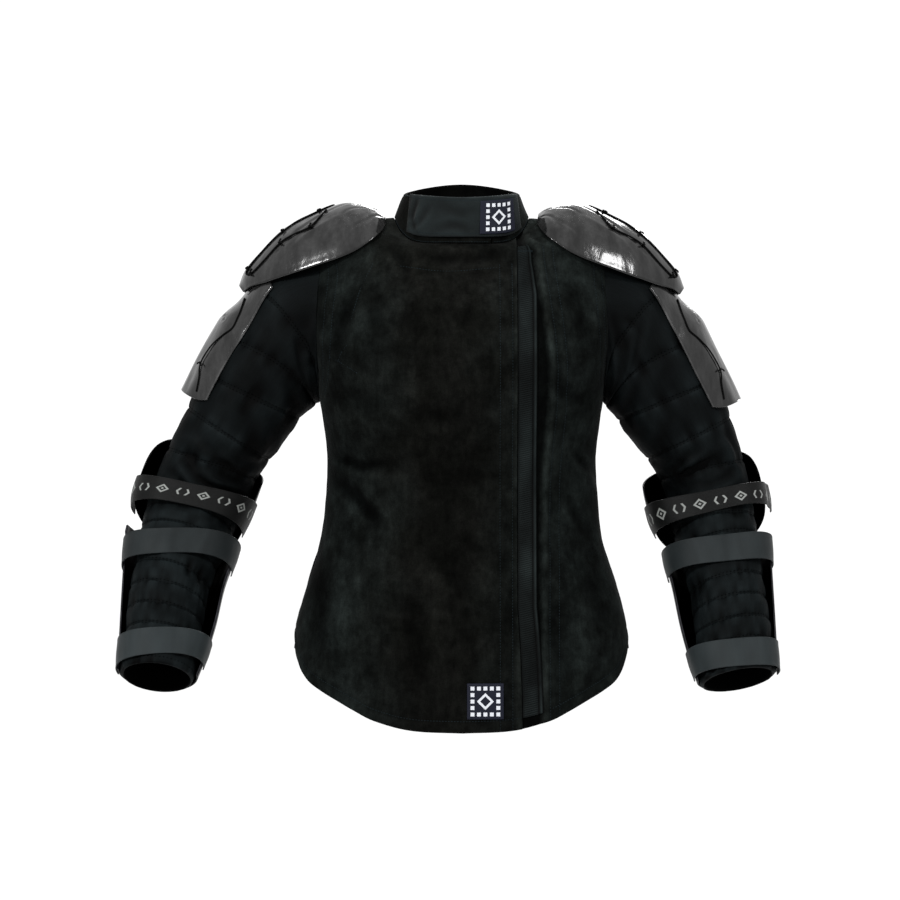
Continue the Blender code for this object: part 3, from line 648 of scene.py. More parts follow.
def make_node(tree, kind, settings=None, **inputs):
    """A shader node with its settings, its unlinked values and its links."""
    node = tree.nodes.new(kind)
    for key, value in (settings or {}).items():
        setattr(node, key, value)
    for key, value in inputs.items():
        socket = node.inputs[int(key[1:]) if key[1:].isdigit() else key.replace("_", " ")]
        if isinstance(value, bpy.types.NodeSocket):
            tree.links.new(value, socket)
        else:
            socket.default_value = value
    return node


def maths(tree, operation, first, second=0.0):
    return make_node(tree, "ShaderNodeMath", {"operation": operation}, i0=first, i1=second).outputs[0]


def apart_from(tree, value, target):
    """How far a value is from a target."""
    return maths(tree, "ABSOLUTE", maths(tree, "SUBTRACT", value, target))


def is_near(tree, value, target, reach):
    """1 where a value is nearer to a target than this reach, and 0 elsewhere."""
    return maths(tree, "LESS_THAN", apart_from(tree, value, target), reach)


def ramp(tree, value, stops):
    """A colour ramp: stops are places and colours or greys."""
    node = make_node(tree, "ShaderNodeValToRGB", Fac=value)
    elements = node.color_ramp.elements
    while len(elements) < len(stops):
        elements.new(0.5)
    for element, (place, colour) in zip(elements, stops):
        element.position = place
        element.color = (*colour, 1) if isinstance(colour, tuple) else (colour, colour, colour, 1)
    return node.outputs["Color"]


def mix(tree, factor, first, second, blend="MIX"):
    """A colour between two colours."""
    node = tree.nodes.new("ShaderNodeMix")
    node.data_type = "RGBA"
    node.blend_type = blend
    for socket, value in ((node.inputs[0], factor), (node.inputs[6], first), (node.inputs[7], second)):
        if isinstance(value, bpy.types.NodeSocket):
            tree.links.new(value, socket)
        else:
            socket.default_value = (*value, 1) if isinstance(value, tuple) else value
    return node.outputs[2]


def shaded(tree, tone, value, stops):
    """A tone times a grey ramp of a value."""
    return mix(tree, 1.0, tone, ramp(tree, value, stops), "MULTIPLY")


def cloud(tree, vector, scale, detail=4.0, rough=0.55):
    """Noise of this many features to a metre."""
    settings = {"Vector": vector, "Scale": scale, "Detail": detail, "Roughness": rough}
    return make_node(tree, "ShaderNodeTexNoise", **settings).outputs["Fac"]


def stretched(tree, vector, scale):
    return make_node(tree, "ShaderNodeMapping", Vector=vector, Scale=scale).outputs[0]


class Finish:
    """A procedural material: its tree, its shader and its coordinates."""

    def __init__(self, name, roughness, **sockets):
        self.material = bpy.data.materials.new(name)
        self.material.use_nodes = True
        self.tree = self.material.node_tree
        self.shader = self.tree.nodes["Principled BSDF"]
        self.shader.inputs["Roughness"].default_value = roughness
        for key, value in sockets.items():
            self.shader.inputs[key.replace("_", " ")].default_value = value
        coordinates = self.tree.nodes.new("ShaderNodeTexCoord")
        self.place = coordinates.outputs["Object"]
        self.uv = coordinates.outputs["UV"]

    def colour(self, socket):
        self.tree.links.new(socket, self.shader.inputs["Base Color"])

    def painted_shading_and_wear(self, tone, stops):
        """Painted shade and light: the tone made darker in the hollows and lighter on the ridges and rims, on
        cloth partly as nap lightened by rubbing.
        """
        light_and_wear_attribute = make_node(self.tree, "ShaderNodeAttribute", {"attribute_name": "wear_and_painted_light"}).outputs["Fac"]
        return shaded(self.tree, tone, light_and_wear_attribute, stops)

    def rough(self, socket):
        self.tree.links.new(socket, self.shader.inputs["Roughness"])

    def bump(self, *heights):
        """Bumps on bumps: each is a height from 0 to 1, its strength and its depth in metres."""
        normal = None
        for height, strength, distance in heights:
            node = make_node(self.tree, "ShaderNodeBump", Height=height, Strength=strength, Distance=distance)
            if normal:
                self.tree.links.new(normal, node.inputs["Normal"])
            normal = node.outputs[0]
        self.tree.links.new(normal, self.shader.inputs["Normal"])


def make_suede():
    """Black suede with patches where the nap lies another way, and short brushed strokes."""
    f = Finish("suede", 0.95, Sheen_Weight=0.01, Sheen_Roughness=0.4, Specular_IOR_Level=0.012)
    tree = f.tree
    # Painted sheen: the nap is drawn lighter and greener at the sides and along the closing, as grazing light
    # makes it look, and browner in the middle
    parts = make_node(tree, "ShaderNodeSeparateXYZ", Vector=f.place)
    from_middle = maths(tree, "ABSOLUTE", maths(tree, "ADD", parts.outputs[0], 0.02))
    uneven = maths(tree, "MULTIPLY", cloud(tree, f.place, 9, 4, 0.6), 0.16)
    side = ramp(tree, maths(tree, "ADD", from_middle, uneven), [(0.11, 0.0), (0.22, 1.0)])
    patches = ramp(tree, cloud(tree, f.place, 19, 6, 0.65), [(0.40, 0.0), (0.60, 1.0)])
    strokes = cloud(tree, stretched(tree, f.place, (1, 1, 0.35)), 130, 4, 0.65)
    fibres = cloud(tree, f.place, 900, 2, 0.7)
    smudge = cloud(tree, f.place, 60, 4, 0.65)
    brown = mix(tree, patches, (0.00110, 0.00116, 0.00098), (0.00215, 0.00222, 0.00195))
    painted_sheen_green = mix(tree, patches, (0.00140, 0.00175, 0.00160), (0.00320, 0.00415, 0.00390))
    tone = mix(tree, side, brown, painted_sheen_green)
    tone = shaded(tree, tone, smudge, [(0.3, 0.62), (0.7, 1.5)])
    tone = shaded(tree, tone, strokes, [(0.3, 0.7), (0.7, 1.35)])
    # Painted shade in the hollows and painted light on the ridges, partly nap lightened by rubbing
    tone = f.painted_shading_and_wear(tone, [(0.0, 0.25), (0.5, 1.0), (1.0, 2.1)])
    f.colour(shaded(tree, tone, fibres, [(0.3, 0.72), (0.7, 1.3)]))
    f.bump((smudge, 0.6, 0.0015), (strokes, 0.4, 0.0005), (fibres, 0.4, 0.0003))
    return f.material


def weave(tree, uv, across, along, lean=0.0):
    """A plain weave's height: threads to a metre each way, leaning for a twill."""
    parts = make_node(tree, "ShaderNodeSeparateXYZ", Vector=uv)
    u, v = parts.outputs[0], parts.outputs[1]
    if lean:
        u = maths(tree, "ADD", u, maths(tree, "MULTIPLY", v, lean))
    first = maths(tree, "SINE", maths(tree, "MULTIPLY", u, across * 2 * math.pi))
    second = maths(tree, "SINE", maths(tree, "MULTIPLY", v, along * 2 * math.pi))
    product = maths(tree, "MULTIPLY", first, second) if not lean else first
    return maths(tree, "ADD", maths(tree, "MULTIPLY", product, 0.5), 0.5)


def make_cotton():
    """Dark blue-grey cotton twill, painted lighter where the quilting stands up and on the lit side, and
    darker in its hollows and on the upper arm, as light and shade.
    """
    f = Finish("quilted_cotton", 0.62, Specular_IOR_Level=0.02)
    tree = f.tree
    twill = weave(tree, f.uv, 900, 900, lean=1.0)
    soft = cloud(tree, f.place, 22, 4, 0.6)
    slub = cloud(tree, stretched(tree, f.uv, (1.0, 0.15, 1.0)), 420, 3, 0.6)
    tone = mix(tree, soft, (0.00060, 0.00105, 0.00120), (0.00200, 0.00315, 0.00350))
    tone = shaded(tree, tone, slub, [(0.3, 0.82), (0.7, 1.18)])
    tone = mix(tree, 0.35, tone, ramp(tree, twill, [(0.2, 0.0004), (0.8, 0.0026)]))
    f.colour(f.painted_shading_and_wear(tone, [(0.0, 0.12), (0.5, 1.0), (1.0, 2.2)]))
    f.bump((soft, 0.25, 0.0012), (slub, 0.2, 0.0003), (twill, 0.25, 0.0002))
    return f.material


def make_flap_cloth():
    """Slate loop cloth of the collar's flap."""
    f = Finish("flap_cloth", 0.88, Sheen_Weight=0.03, Sheen_Roughness=0.5, Specular_IOR_Level=0.08)
    tree = f.tree
    loops = cloud(tree, f.place, 700, 2, 0.8)
    soft = cloud(tree, f.place, 40, 3, 0.6)
    tone = mix(tree, soft, (0.0022, 0.0034, 0.0036), (0.0044, 0.0062, 0.0064))
    # Painted shade in the hollows and painted light on the folds' tops
    tone = f.painted_shading_and_wear(tone, [(0.0, 0.2), (0.5, 1.0), (1.0, 1.7)])
    f.colour(shaded(tree, tone, loops, [(0.3, 0.7), (0.7, 1.3)]))
    f.bump((soft, 0.2, 0.001), (loops, 0.5, 0.0005))
    return f.material


def make_webbing():
    """Woven tape: cross ribs, with a finer pick in them."""
    f = Finish("webbing", 0.62, Specular_IOR_Level=0.03)
    tree = f.tree
    picks = weave(tree, f.uv, 800, 800)
    soft = cloud(tree, stretched(tree, f.place, (1, 1, 0.8)), 16, 3, 0.6)
    light = ramp(tree, soft, [(0.35, 0.0), (0.65, 1.0)])
    tone = mix(tree, light, (0.0009, 0.0013, 0.0013), (0.0046, 0.0062, 0.0062))
    # Painted light and shade from the tape's values: ribs and roll lighter, groove and edges darker as shadow
    tone = f.painted_shading_and_wear(tone, [(0.0, 0.05), (0.5, 1.0), (1.0, 3.0)])
    f.colour(shaded(tree, tone, picks, [(0.2, 0.75), (0.8, 1.2)]))
    f.bump((picks, 0.4, 0.0003))
    return f.material


def make_elastic(name, low, high):
    """Ribbed elastic: lengthwise ribs over a fine cross pick."""
    f = Finish(name, 0.5, Sheen_Weight=0.03, Sheen_Roughness=0.3, Specular_IOR_Level=0.07)
    tree = f.tree
    ribs = weave(tree, f.uv, 420, 900)
    soft = cloud(tree, stretched(tree, f.uv, (1.0, 0.15, 1.0)), 60, 3, 0.6)
    # Painted shade in the hollows and painted light on the rises, with the cup's painted shadow on the upper
    # strap
    tone = f.painted_shading_and_wear(mix(tree, soft, low, high), [(0.0, 0.2), (0.5, 1.0), (1.0, 1.8)])
    f.colour(shaded(tree, tone, ribs, [(0.2, 0.82), (0.8, 1.12)]))
    f.bump((ribs, 0.45, 0.0003))
    return f


def motif_mask(tree, uv, pitch, size, width, start=0.0):
    """White marks along a band: a diamond ring and a pair of short bars in turn. uv is in metres."""
    parts = make_node(tree, "ShaderNodeSeparateXYZ", Vector=uv)
    along = maths(tree, "ADD", parts.outputs[0], start)
    turn = maths(tree, "PINGPONG", along, pitch)
    off = apart_from(tree, parts.outputs[1], width / 2)
    # The diamond's ring stands where its taxicab distance is between two sizes
    apart = maths(tree, "ADD", turn, off)
    ring = is_near(tree, apart, size * 0.8, size * 0.2)
    dot = maths(tree, "LESS_THAN", apart, size * 0.25)
    far = apart_from(tree, turn, pitch)
    leaning = maths(tree, "ADD", far, maths(tree, "MULTIPLY", off, 0.5))
    bars = is_near(tree, leaning, size * 0.85, size * 0.16)
    short = maths(tree, "LESS_THAN", off, size * 0.75)
    return maths(tree, "MAXIMUM", maths(tree, "MAXIMUM", ring, dot), maths(tree, "MULTIPLY", bars, short))


def make_elbow_elastic(width):
    f = make_elastic("elbow_elastic", (0.0008, 0.0009, 0.0009), (0.0020, 0.0022, 0.0021))
    tree = f.tree
    plain = f.shader.inputs["Base Color"].links[0].from_socket
    mask = motif_mask(tree, f.uv, 0.026, 0.0085, width * MM, 0.012)
    f.colour(mix(tree, mask, plain, (0.11, 0.115, 0.11)))
    return f.material


def make_label(name, width, height):
    """A woven label: a dark ground with a ring of small off-white squares round an open diamond."""
    f = Finish(name, 0.6, Specular_IOR_Level=0.1)
    tree = f.tree
    parts = make_node(tree, "ShaderNodeSeparateXYZ", Vector=f.uv)
    x = apart_from(tree, parts.outputs[0], width / 2 * MM)
    y = apart_from(tree, parts.outputs[1], height / 2 * MM)
    size = min(width, height) * MM
    apart = maths(tree, "ADD", x, y)
    open_diamond = is_near(tree, apart, size * 0.19, size * 0.045)
    # Squares along a larger square's sides, five to a side
    step = size * 0.36 / 2
    cell_x = maths(tree, "PINGPONG", x, step / 2)
    cell_y = maths(tree, "PINGPONG", y, step / 2)
    cell = maths(tree, "LESS_THAN", maths(tree, "MAXIMUM", cell_x, cell_y), step * 0.3)
    reach = maths(tree, "MAXIMUM", x, y)
    band = is_near(tree, reach, size * 0.36, step * 0.32)
    mask = maths(tree, "MAXIMUM", open_diamond, maths(tree, "MULTIPLY", cell, band))
    ground = mix(tree, weave(tree, f.uv, 1400, 1400), (0.0016, 0.0020, 0.0050), (0.0040, 0.0050, 0.0110))
    f.colour(mix(tree, mask, ground, (0.34, 0.35, 0.37)))
    f.bump((weave(tree, f.uv, 1400, 1400), 0.3, 0.0002), (mask, 0.4, 0.0003))
    return f.material


def make_plastic(name, colour, roughness, wave, gloss, lip):
    """Moulded plastic, slightly wavy, with fine scuffs in its gloss."""
    f = Finish(name, roughness, Specular_IOR_Level=gloss)
    tree = f.tree
    broad = cloud(tree, stretched(tree, f.place, (1, 1, 0.6)), 24, 2, 0.5)
    scuffs = cloud(tree, stretched(tree, f.place, (1, 1, 0.12)), 900, 3, 0.7)
    dust = cloud(tree, f.place, 300, 3, 0.6)
    # Streaks: painted reflections in the colour, and a low wave in the bump; the dust is real
    streaks = cloud(tree, stretched(tree, f.place, (1, 1, 0.3)), 75, 4, 0.6)
    shade = mix(tree, 1.0, ramp(tree, dust, [(0.35, 0.85), (0.75, 1.2)]),
                ramp(tree, streaks, [(0.34, 0.3), (0.5, 0.85), (0.68, 1.6)]), "MULTIPLY")
    # Painted light and shade: the lip factor makes rims lighter as highlights, and edges and hollows are
    # darker as shade
    f.colour(f.painted_shading_and_wear(mix(tree, 1.0, colour, shade, "MULTIPLY"), [(0.0, 0.1), (0.5, 1.0), (1.0, lip)]))
    spread = maths(tree, "MULTIPLY", scuffs, 0.16)
    f.rough(maths(tree, "ADD", spread, roughness - 0.06))
    f.bump((broad, wave, 0.003), (streaks, wave * 0.5, 0.0012), (scuffs, 0.03, 0.0002))
    return f.material


def make_thread(name, colour):
    f = Finish(name, 0.7, Specular_IOR_Level=0.0)
    twist = cloud(f.tree, f.place, 1800, 2, 0.6)
    f.colour(mix(f.tree, twist, tuple(c * 0.7 for c in colour), tuple(c * 1.3 for c in colour)))
    f.bump((twist, 0.3, 0.0002))
    return f.material


def make_cord_finish():
    f = Finish("braided_cord", 0.6, Specular_IOR_Level=0.02)
    braid = weave(f.tree, f.uv, 700, 700)
    f.colour(mix(f.tree, braid, (0.0005, 0.0005, 0.0005), (0.0016, 0.0016, 0.0016)))
    f.bump((braid, 0.6, 0.0004))
    return f.material


finishes = {
    "suede": make_suede(),
    "quilted_cotton": make_cotton(),
    "flap_cloth": make_flap_cloth(),
    "webbing": make_webbing(),
    "elastic": make_elastic("elastic", (0.0060, 0.0077, 0.0082), (0.0124, 0.0158, 0.0168)).material,
    "elbow_elastic": make_elbow_elastic(38),
    # The last number of a plastic is how many times lighter its rims are painted, as highlights
    "shell_plastic": make_plastic("shell_plastic", (0.0068, 0.0068, 0.0068), 0.15, 1.0, 0.34, 4.0),
    "guard_plastic": make_plastic("guard_plastic", (0.0006, 0.0006, 0.0007), 0.3, 0.3, 0.03, 20.0),
    "body_thread": make_thread("body_thread", (0.0065, 0.0095, 0.0110)),
    "sleeve_thread": make_thread("sleeve_thread", (0.0004, 0.0005, 0.0005)),
    "cord": make_cord_finish(),
}


# Creases of the front in its own x and z: marks, width, depth. They differ in length, depth and spacing.
FRONT_CREASES = (
    (((-150, -298), (-120, -309), (-84, -303)), 6.5, 2.2),
    (((-156, -322), (-138, -338), (-112, -366), (-98, -390)), 8, 2.4),
    (((-128, -318), (-122, -352), (-112, -384)), 6, 1.3),
    (((136, -288), (148, -306), (158, -318)), 5, 1.8),
    (((126, -350), (140, -372), (150, -396)), 6, 1.4),
    (((-182, -410), (-172, -470), (-176, -540)), 14, 1.6),
    (((150, -420), (166, -470), (178, -530)), 13, 1.5),
    (((-60, -430), (-52, -500), (-62, -590)), 18, 1.2),
    (((4, -380), (-6, -470), (6, -560)), 20, 1.1),
    (((112, -480), (118, -540), (112, -600)), 14, 1.2),
    (((-124, -88), (-142, -130), (-156, -176)), 9, 1.8),
    (((-96, -78), (-104, -120), (-98, -170)), 12, 1.0),
    (((130, -92), (142, -130), (150, -170)), 9, 1.4),
    (((-60, -46), (-30, -58), (10, -56), (48, -50)), 7, 1.3),
    (((-88, -40), (-70, -66), (-66, -96)), 7, 1.5),
    (((-160, -215), (-120, -228), (-76, -226)), 12, 1.2),
    (((40, -230), (-10, -244), (-70, -240)), 16, 0.9),
    (((110, -210), (138, -226), (160, -222)), 9, 1.2),
    (((-30, -310), (20, -322), (58, -316)), 12, 0.9),
)
BACK_CREASES = (
    (((-150, -304), (-110, -318), (-60, -310)), 8, 2.2),
    (((150, -296), (104, -316), (66, -306)), 8, 2.4),
    (((-120, -340), (-80, -366), (-30, -372)), 9, 1.6),
    (((128, -338), (90, -360), (30, -362)), 9, 1.5),
    (((-26, -280), (0, -292), (34, -284)), 10, 1.4),
    (((-60, -420), (-54, -500), (-66, -590)), 18, 1.4),
    (((20, -400), (28, -490), (18, -580)), 20, 1.2),
    (((110, -430), (116, -510), (104, -580)), 16, 1.3),
    (((-150, -420), (-158, -490), (-150, -550)), 14, 1.4),
    (((-140, -90), (-118, -140), (-124, -190)), 11, 1.6),
    (((138, -96), (120, -146), (128, -200)), 11, 1.8),
    (((-80, -60), (-30, -76), (30, -74), (84, -62)), 10, 1.3),
    (((0, -100), (-4, -180), (2, -250)), 16, 0.8),
)
# Creases of the sleeves by length and by angle as millimetres round: marks, width, depth
ROUND_MM = 0.85
SLEEVE_COLUMNS = 120
SLEEVE_CREASES = {
    "right": (
        (((222, 50), (244, 74), (268, 107), (266, 176)), 7, 4.2),
        (((206, 66), (220, 92), (232, 130)), 6, 1.8),
        (((244, 30), (262, 60), (284, 96)), 6, 1.7),
        (((292, 60), (300, 110), (294, 160)), 5, 1.4),
        (((14, 84), (30, 104), (44, 134)), 6, 1.8),
        (((60, 120), (92, 138), (120, 160)), 10, 2.0),
        (((120, 84), (150, 100), (176, 130)), 9, 1.6),
        (((150, 140), (170, 160), (200, 172)), 8, 2.2),
        (((216, 200), (240, 240), (250, 300)), 9, 1.8),
        (((120, 230), (160, 260), (190, 300)), 11, 1.8),
        (((40, 200), (80, 230), (110, 280)), 12, 1.6),
        (((350, 250), (400, 262), (460, 258)), 12, 1.2),
    ),
    "left": (
        (((214, 62), (230, 104), (240, 140)), 7, 4.0),
        (((222, 34), (246, 60), (262, 110)), 6, 2.2),
        (((188, 53), (214, 50), (246, 41)), 6, -2.6),
        (((196, 92), (214, 118), (226, 152)), 6, 1.8),
        (((12, 84), (26, 101), (42, 131)), 5, 3.0),
        (((24, 80), (36, 99), (52, 128)), 5, 2.4),
        (((38, 74), (50, 96), (66, 124)), 6, 2.0),
        (((70, 110), (100, 132), (124, 156)), 10, 2.0),
        (((126, 90), (150, 108), (178, 134)), 9, 1.6),
        (((220, 204), (240, 244), (252, 300)), 9, 1.8),
        (((110, 226), (150, 256), (186, 296)), 11, 1.8),
        (((350, 250), (400, 262), (450, 258)), 12, 1.2),
    ),
}

FLAP_CREASES = (
    (((10, 4), (6, 30), (12, 57)), 2.6, 2.0),
    (((2, 12), (14, 26), (24, 50)), 3.2, 1.4),
    (((26, 14), (44, 22), (62, 12)), 5, 1.1),
    (((30, 46), (52, 38), (70, 48)), 6, 1.0),
    (((92, 4), (97, 30), (94, 56)), 3.0, 1.0),
)
# Creases of a shoulder plate, by length along the ridge and by length to the front: marks, width, depth, lip
PLATE_CREASES = (
    (((74, 46), (101, 53), (120, 62), (136, 80)), 3.0, -1.0, 0.0),
    (((66, 16), (96, 30), (120, 44), (142, 62)), 2.2, 1.0),
    (((60, -40), (100, -50), (136, -40)), 3.0, -1.0, 0.0),
    (((40, 30), (62, 34), (80, 46)), 2.0, 0.9),
    (((40, 62), (66, 70), (88, 84)), 2.4, 0.8),
)
# Folds at its collar end
PLATE_FOLDS = (
    (((6, 20), (20, 28), (40, 24)), 3.0, 1.0),
    (((10, 60), (26, 54), (48, 66)), 3.5, 1.0),
    (((8, -30), (24, -40), (46, -36)), 3.0, 1.0),
)
BODY_PITCH = 3.6
SEAM_DIP = {"front": 1.8, "back": 2.0}


def body_levels():
    """Levels of the rows above the hem's: even ones, closer at the armhole's ends, then by length."""
    straight = np.arange(HEM_TOP, ARMHOLE_LEVEL - ARMHOLE_HALF, BODY_PITCH)
    turns = np.radians(np.linspace(0, 180, 70))
    armhole = ARMHOLE_LEVEL - ARMHOLE_HALF * np.cos(turns)
    fine = np.linspace(armhole[-1], 0, 400)
    half = curve(BODY_RINGS, fine)[0]
    length = np.concatenate([[0], np.cumsum(np.hypot(np.diff(half), np.diff(fine)))])
    top = np.interp(spaced(0, length[-1], BODY_PITCH, RIM_STEPS)[1:], length, fine)
    return np.concatenate([straight, armhole, top])


def panel_grid(low, high, width, behind, out_at, pitch, creases_table, seed):
    """A panel of the body between two edges, given as functions that turn levels into angles."""
    hem = spaced(0, 150, BODY_PITCH, RIM_STEPS)[:-1] / 150
    shares = np.concatenate([hem, np.ones(len(body_levels()))])
    levels = np.concatenate([np.full(len(hem), float(HEM_TOP)), body_levels()])
    columns = spaced(0, width, pitch, RIM_STEPS) / width
    start, end = low(levels)[:, None], high(levels)[:, None]
    angles = start + (end - start) * columns
    heights = levels[:, None] + (hem_level(angles, behind) - levels[:, None]) * (1 - shares[:, None])
    outs = out_at(angles, heights)
    middle = body(angles, heights, outs - SUEDE / 2)
    x, z = middle[..., 0], middle[..., 2]
    relief = creases(x, z, creases_table)
    relief = 1.35 * relief + 1.2 * speckle(middle, 70, seed, 1) + 0.5 * speckle(middle, 22, seed + 1, 2)
    return middle, relief, heights


def dip(distance, width, depth):
    return -depth * bell(distance, width)


def seam_dips(middle, rows, width, *from_armholes):
    """Shallow troughs along the stitched rows beside the armholes and above the hem."""
    z = middle[..., 2]
    near_arm = (z > ARMHOLE_SPAN[0]) & (z < ARMHOLE_SPAN[1])
    beside = sum(dip(away - row, width, 0.5) for away in from_armholes for row in rows)
    return np.where(near_arm, beside, 0) + dip(Grid.lengths(middle, 0) - HEM_ROW, 2.0, 0.6)


def edge_distance(middle, side):
    left = Grid.lengths(middle, 1)
    return left if side == "left" else left[:, -1:] - left


def make_front_right():
    middle, relief, _ = panel_grid(
        lambda level: -armhole_angle(level, -1), lambda level: angle_at(level, x=CLOSING_X + 0 * level),
        300, False, lambda a, z: 0.0 * a, 3.2, FRONT_CREASES, 1,
    )
    x, z = middle[..., 0], middle[..., 2]
    from_hem = Grid.lengths(middle, 0)
    from_armhole = edge_distance(middle, "left")
    relief += seam_dips(middle, ARMHOLE_ROWS["right"], SEAM_DIP["front"], from_armhole)
    relief += 0.35 * bell(from_hem - 7, 5)
    for line in PLACKET_ROWS:
        relief += np.where(z < -60, dip(x - line, 1.8, 0.5), 0)
    relief += 0.5 * ease((x - 61) / 3) * (x > 61)
    grid = Grid(middle, SUEDE, middle * (0, 0, 1), relief, rim=1.2)
    # Painted shade in the hollows and painted light on the ridges, and lighter along the closing's edge
    wear_and_painted_light = 0.5 + relief / 5 + 0.25 * ease((x - 64) / 3)
    add_wall("front_right_suede", grid, "suede", "front_right", wear_and_painted_light=wear_and_painted_light, inside=0.2)
    return grid, from_hem, from_armhole, x


def make_front_left():
    middle, relief, heights = panel_grid(
        lambda level: angle_at(level, x=UNDERLAP_X + 0 * level), lambda level: armhole_angle(level, -1),
        200, False, left_front_out, 2.6, FRONT_CREASES, 5,
    )
    x = middle[..., 0]
    from_hem = Grid.lengths(middle, 0)
    from_armhole = edge_distance(middle, "right")
    edge = rolled_edge(heights)
    over = np.clip(x - tape_end(heights) - 1.0, 0, None)
    relief = relief * ease((x - edge + 2) / 10)
    relief += 1.6 * bell(x - edge - 6.5, 3.2) - 1.2 * bell(x - edge - 0.5, 1.6) * (over > 0)
    relief += seam_dips(middle, ARMHOLE_ROWS["left"], SEAM_DIP["front"], from_armhole)
    for line in ROLLED_ROWS:
        relief += dip(x - edge - line, 1.8, 0.45)
    grid = Grid(middle, SUEDE, middle * (0, 0, 1), relief, rim=1.2)
    # Painted shadow: darkest under the closing and in the gap beside the tape; elsewhere painted shade in the
    # hollows and light on the ridges
    wear_and_painted_light = np.where(x < edge, 0.0, 0.5 + relief / 5)
    add_wall("front_left_suede", grid, "suede", "front_left", wear_and_painted_light=wear_and_painted_light, inside=0.2)
    return grid, from_hem, from_armhole, x - edge


def make_back():
    middle, relief, _ = panel_grid(
        lambda level: 180 - armhole_angle(level, 1), lambda level: 180 + armhole_angle(level, 1),
        460, True, lambda a, z: 0.0 * a, BODY_PITCH, BACK_CREASES, 9,
    )
    from_hem = Grid.lengths(middle, 0)
    left, right = edge_distance(middle, "left"), edge_distance(middle, "right")
    relief += seam_dips(middle, ARMHOLE_ROWS["back"], SEAM_DIP["back"], left, right)
    grid = Grid(middle, SUEDE, middle * (0, 0, 1), relief, rim=1.2)
    # Painted shade in the hollows and painted light on the ridges
    add_wall("back_suede", grid, "suede", "back", wear_and_painted_light=0.5 + relief / 5, inside=0.2)
    return grid, from_hem, left, right


def kept(pair, grid, test):
    """Row and column numbers of the places whose point passes a test, as points and normals."""
    rows, columns = pair
    points, normals = grid.sample(rows, columns)
    keep = test(points)
    return points[keep], normals[keep]


def armhole_stitches(grid, fields, rows, top=-50):
    """The stitched rows beside the armholes."""
    pairs = [crossing(field, row, 1) for row in rows for field in fields]
    return [kept(pair, grid, lambda p: (p[:, 2] > -224) & (p[:, 2] < top)) for pair in pairs]


def make_body():
    grid, from_hem, from_armhole, x = make_front_right()
    rows = [kept(crossing(from_hem, HEM_ROW, 0), grid, lambda p: p[:, 2] < 0)]
    rows += armhole_stitches(grid, [from_armhole], ARMHOLE_ROWS["right"], -40)
    for line in PLACKET_ROWS:
        rows.append(kept(crossing(x, line, 1), grid, lambda p: (p[:, 2] < -62) & (p[:, 2] > -640)))
    for marks, count in CHEST_ROWS:
        rows.append(on_front(grid, smooth_line(marks, count)))
    grid, from_hem, from_armhole, from_roll = make_front_left()
    rows.append(kept(crossing(from_hem, HEM_ROW, 0), grid, lambda p: p[:, 0] > 106))
    rows += armhole_stitches(grid, [from_armhole], ARMHOLE_ROWS["left"])
    for line in ROLLED_ROWS:
        rows.append(kept(crossing(from_roll, line, 1), grid, lambda p: p[:, 2] < -40))
    stitch_rows("stitching_front", rows, "body_thread", "suede")
    grid, from_hem, left, right = make_back()
    rows = [kept(crossing(from_hem, HEM_ROW, 0), grid, lambda p: p[:, 2] < 0)]
    rows += armhole_stitches(grid, [left, right], ARMHOLE_ROWS["back"])
    stitch_rows("stitching_back", rows, "body_thread", "suede")


def on_front(grid, line):
    """Points and normals on the grid's outer surface nearest to a line of x and z."""
    flat = grid.outer.reshape(-1, 3)
    normals = grid.normal.reshape(-1, 3)
    spots = []
    for x, z in line:
        near = np.argsort((flat[:, 0] - x) ** 2 + (flat[:, 2] - z) ** 2)[:6]
        away = np.hypot(flat[near, 0] - x, flat[near, 2] - z) + 0.3
        weight = (1 / away ** 2)[:, None]
        point = (flat[near] * weight).sum(0) / weight.sum()
        spots.append((np.array([x, point[1], z]), unit((normals[near] * weight).sum(0))))
    return np.array([p for p, _ in spots]), np.array([n for _, n in spots])


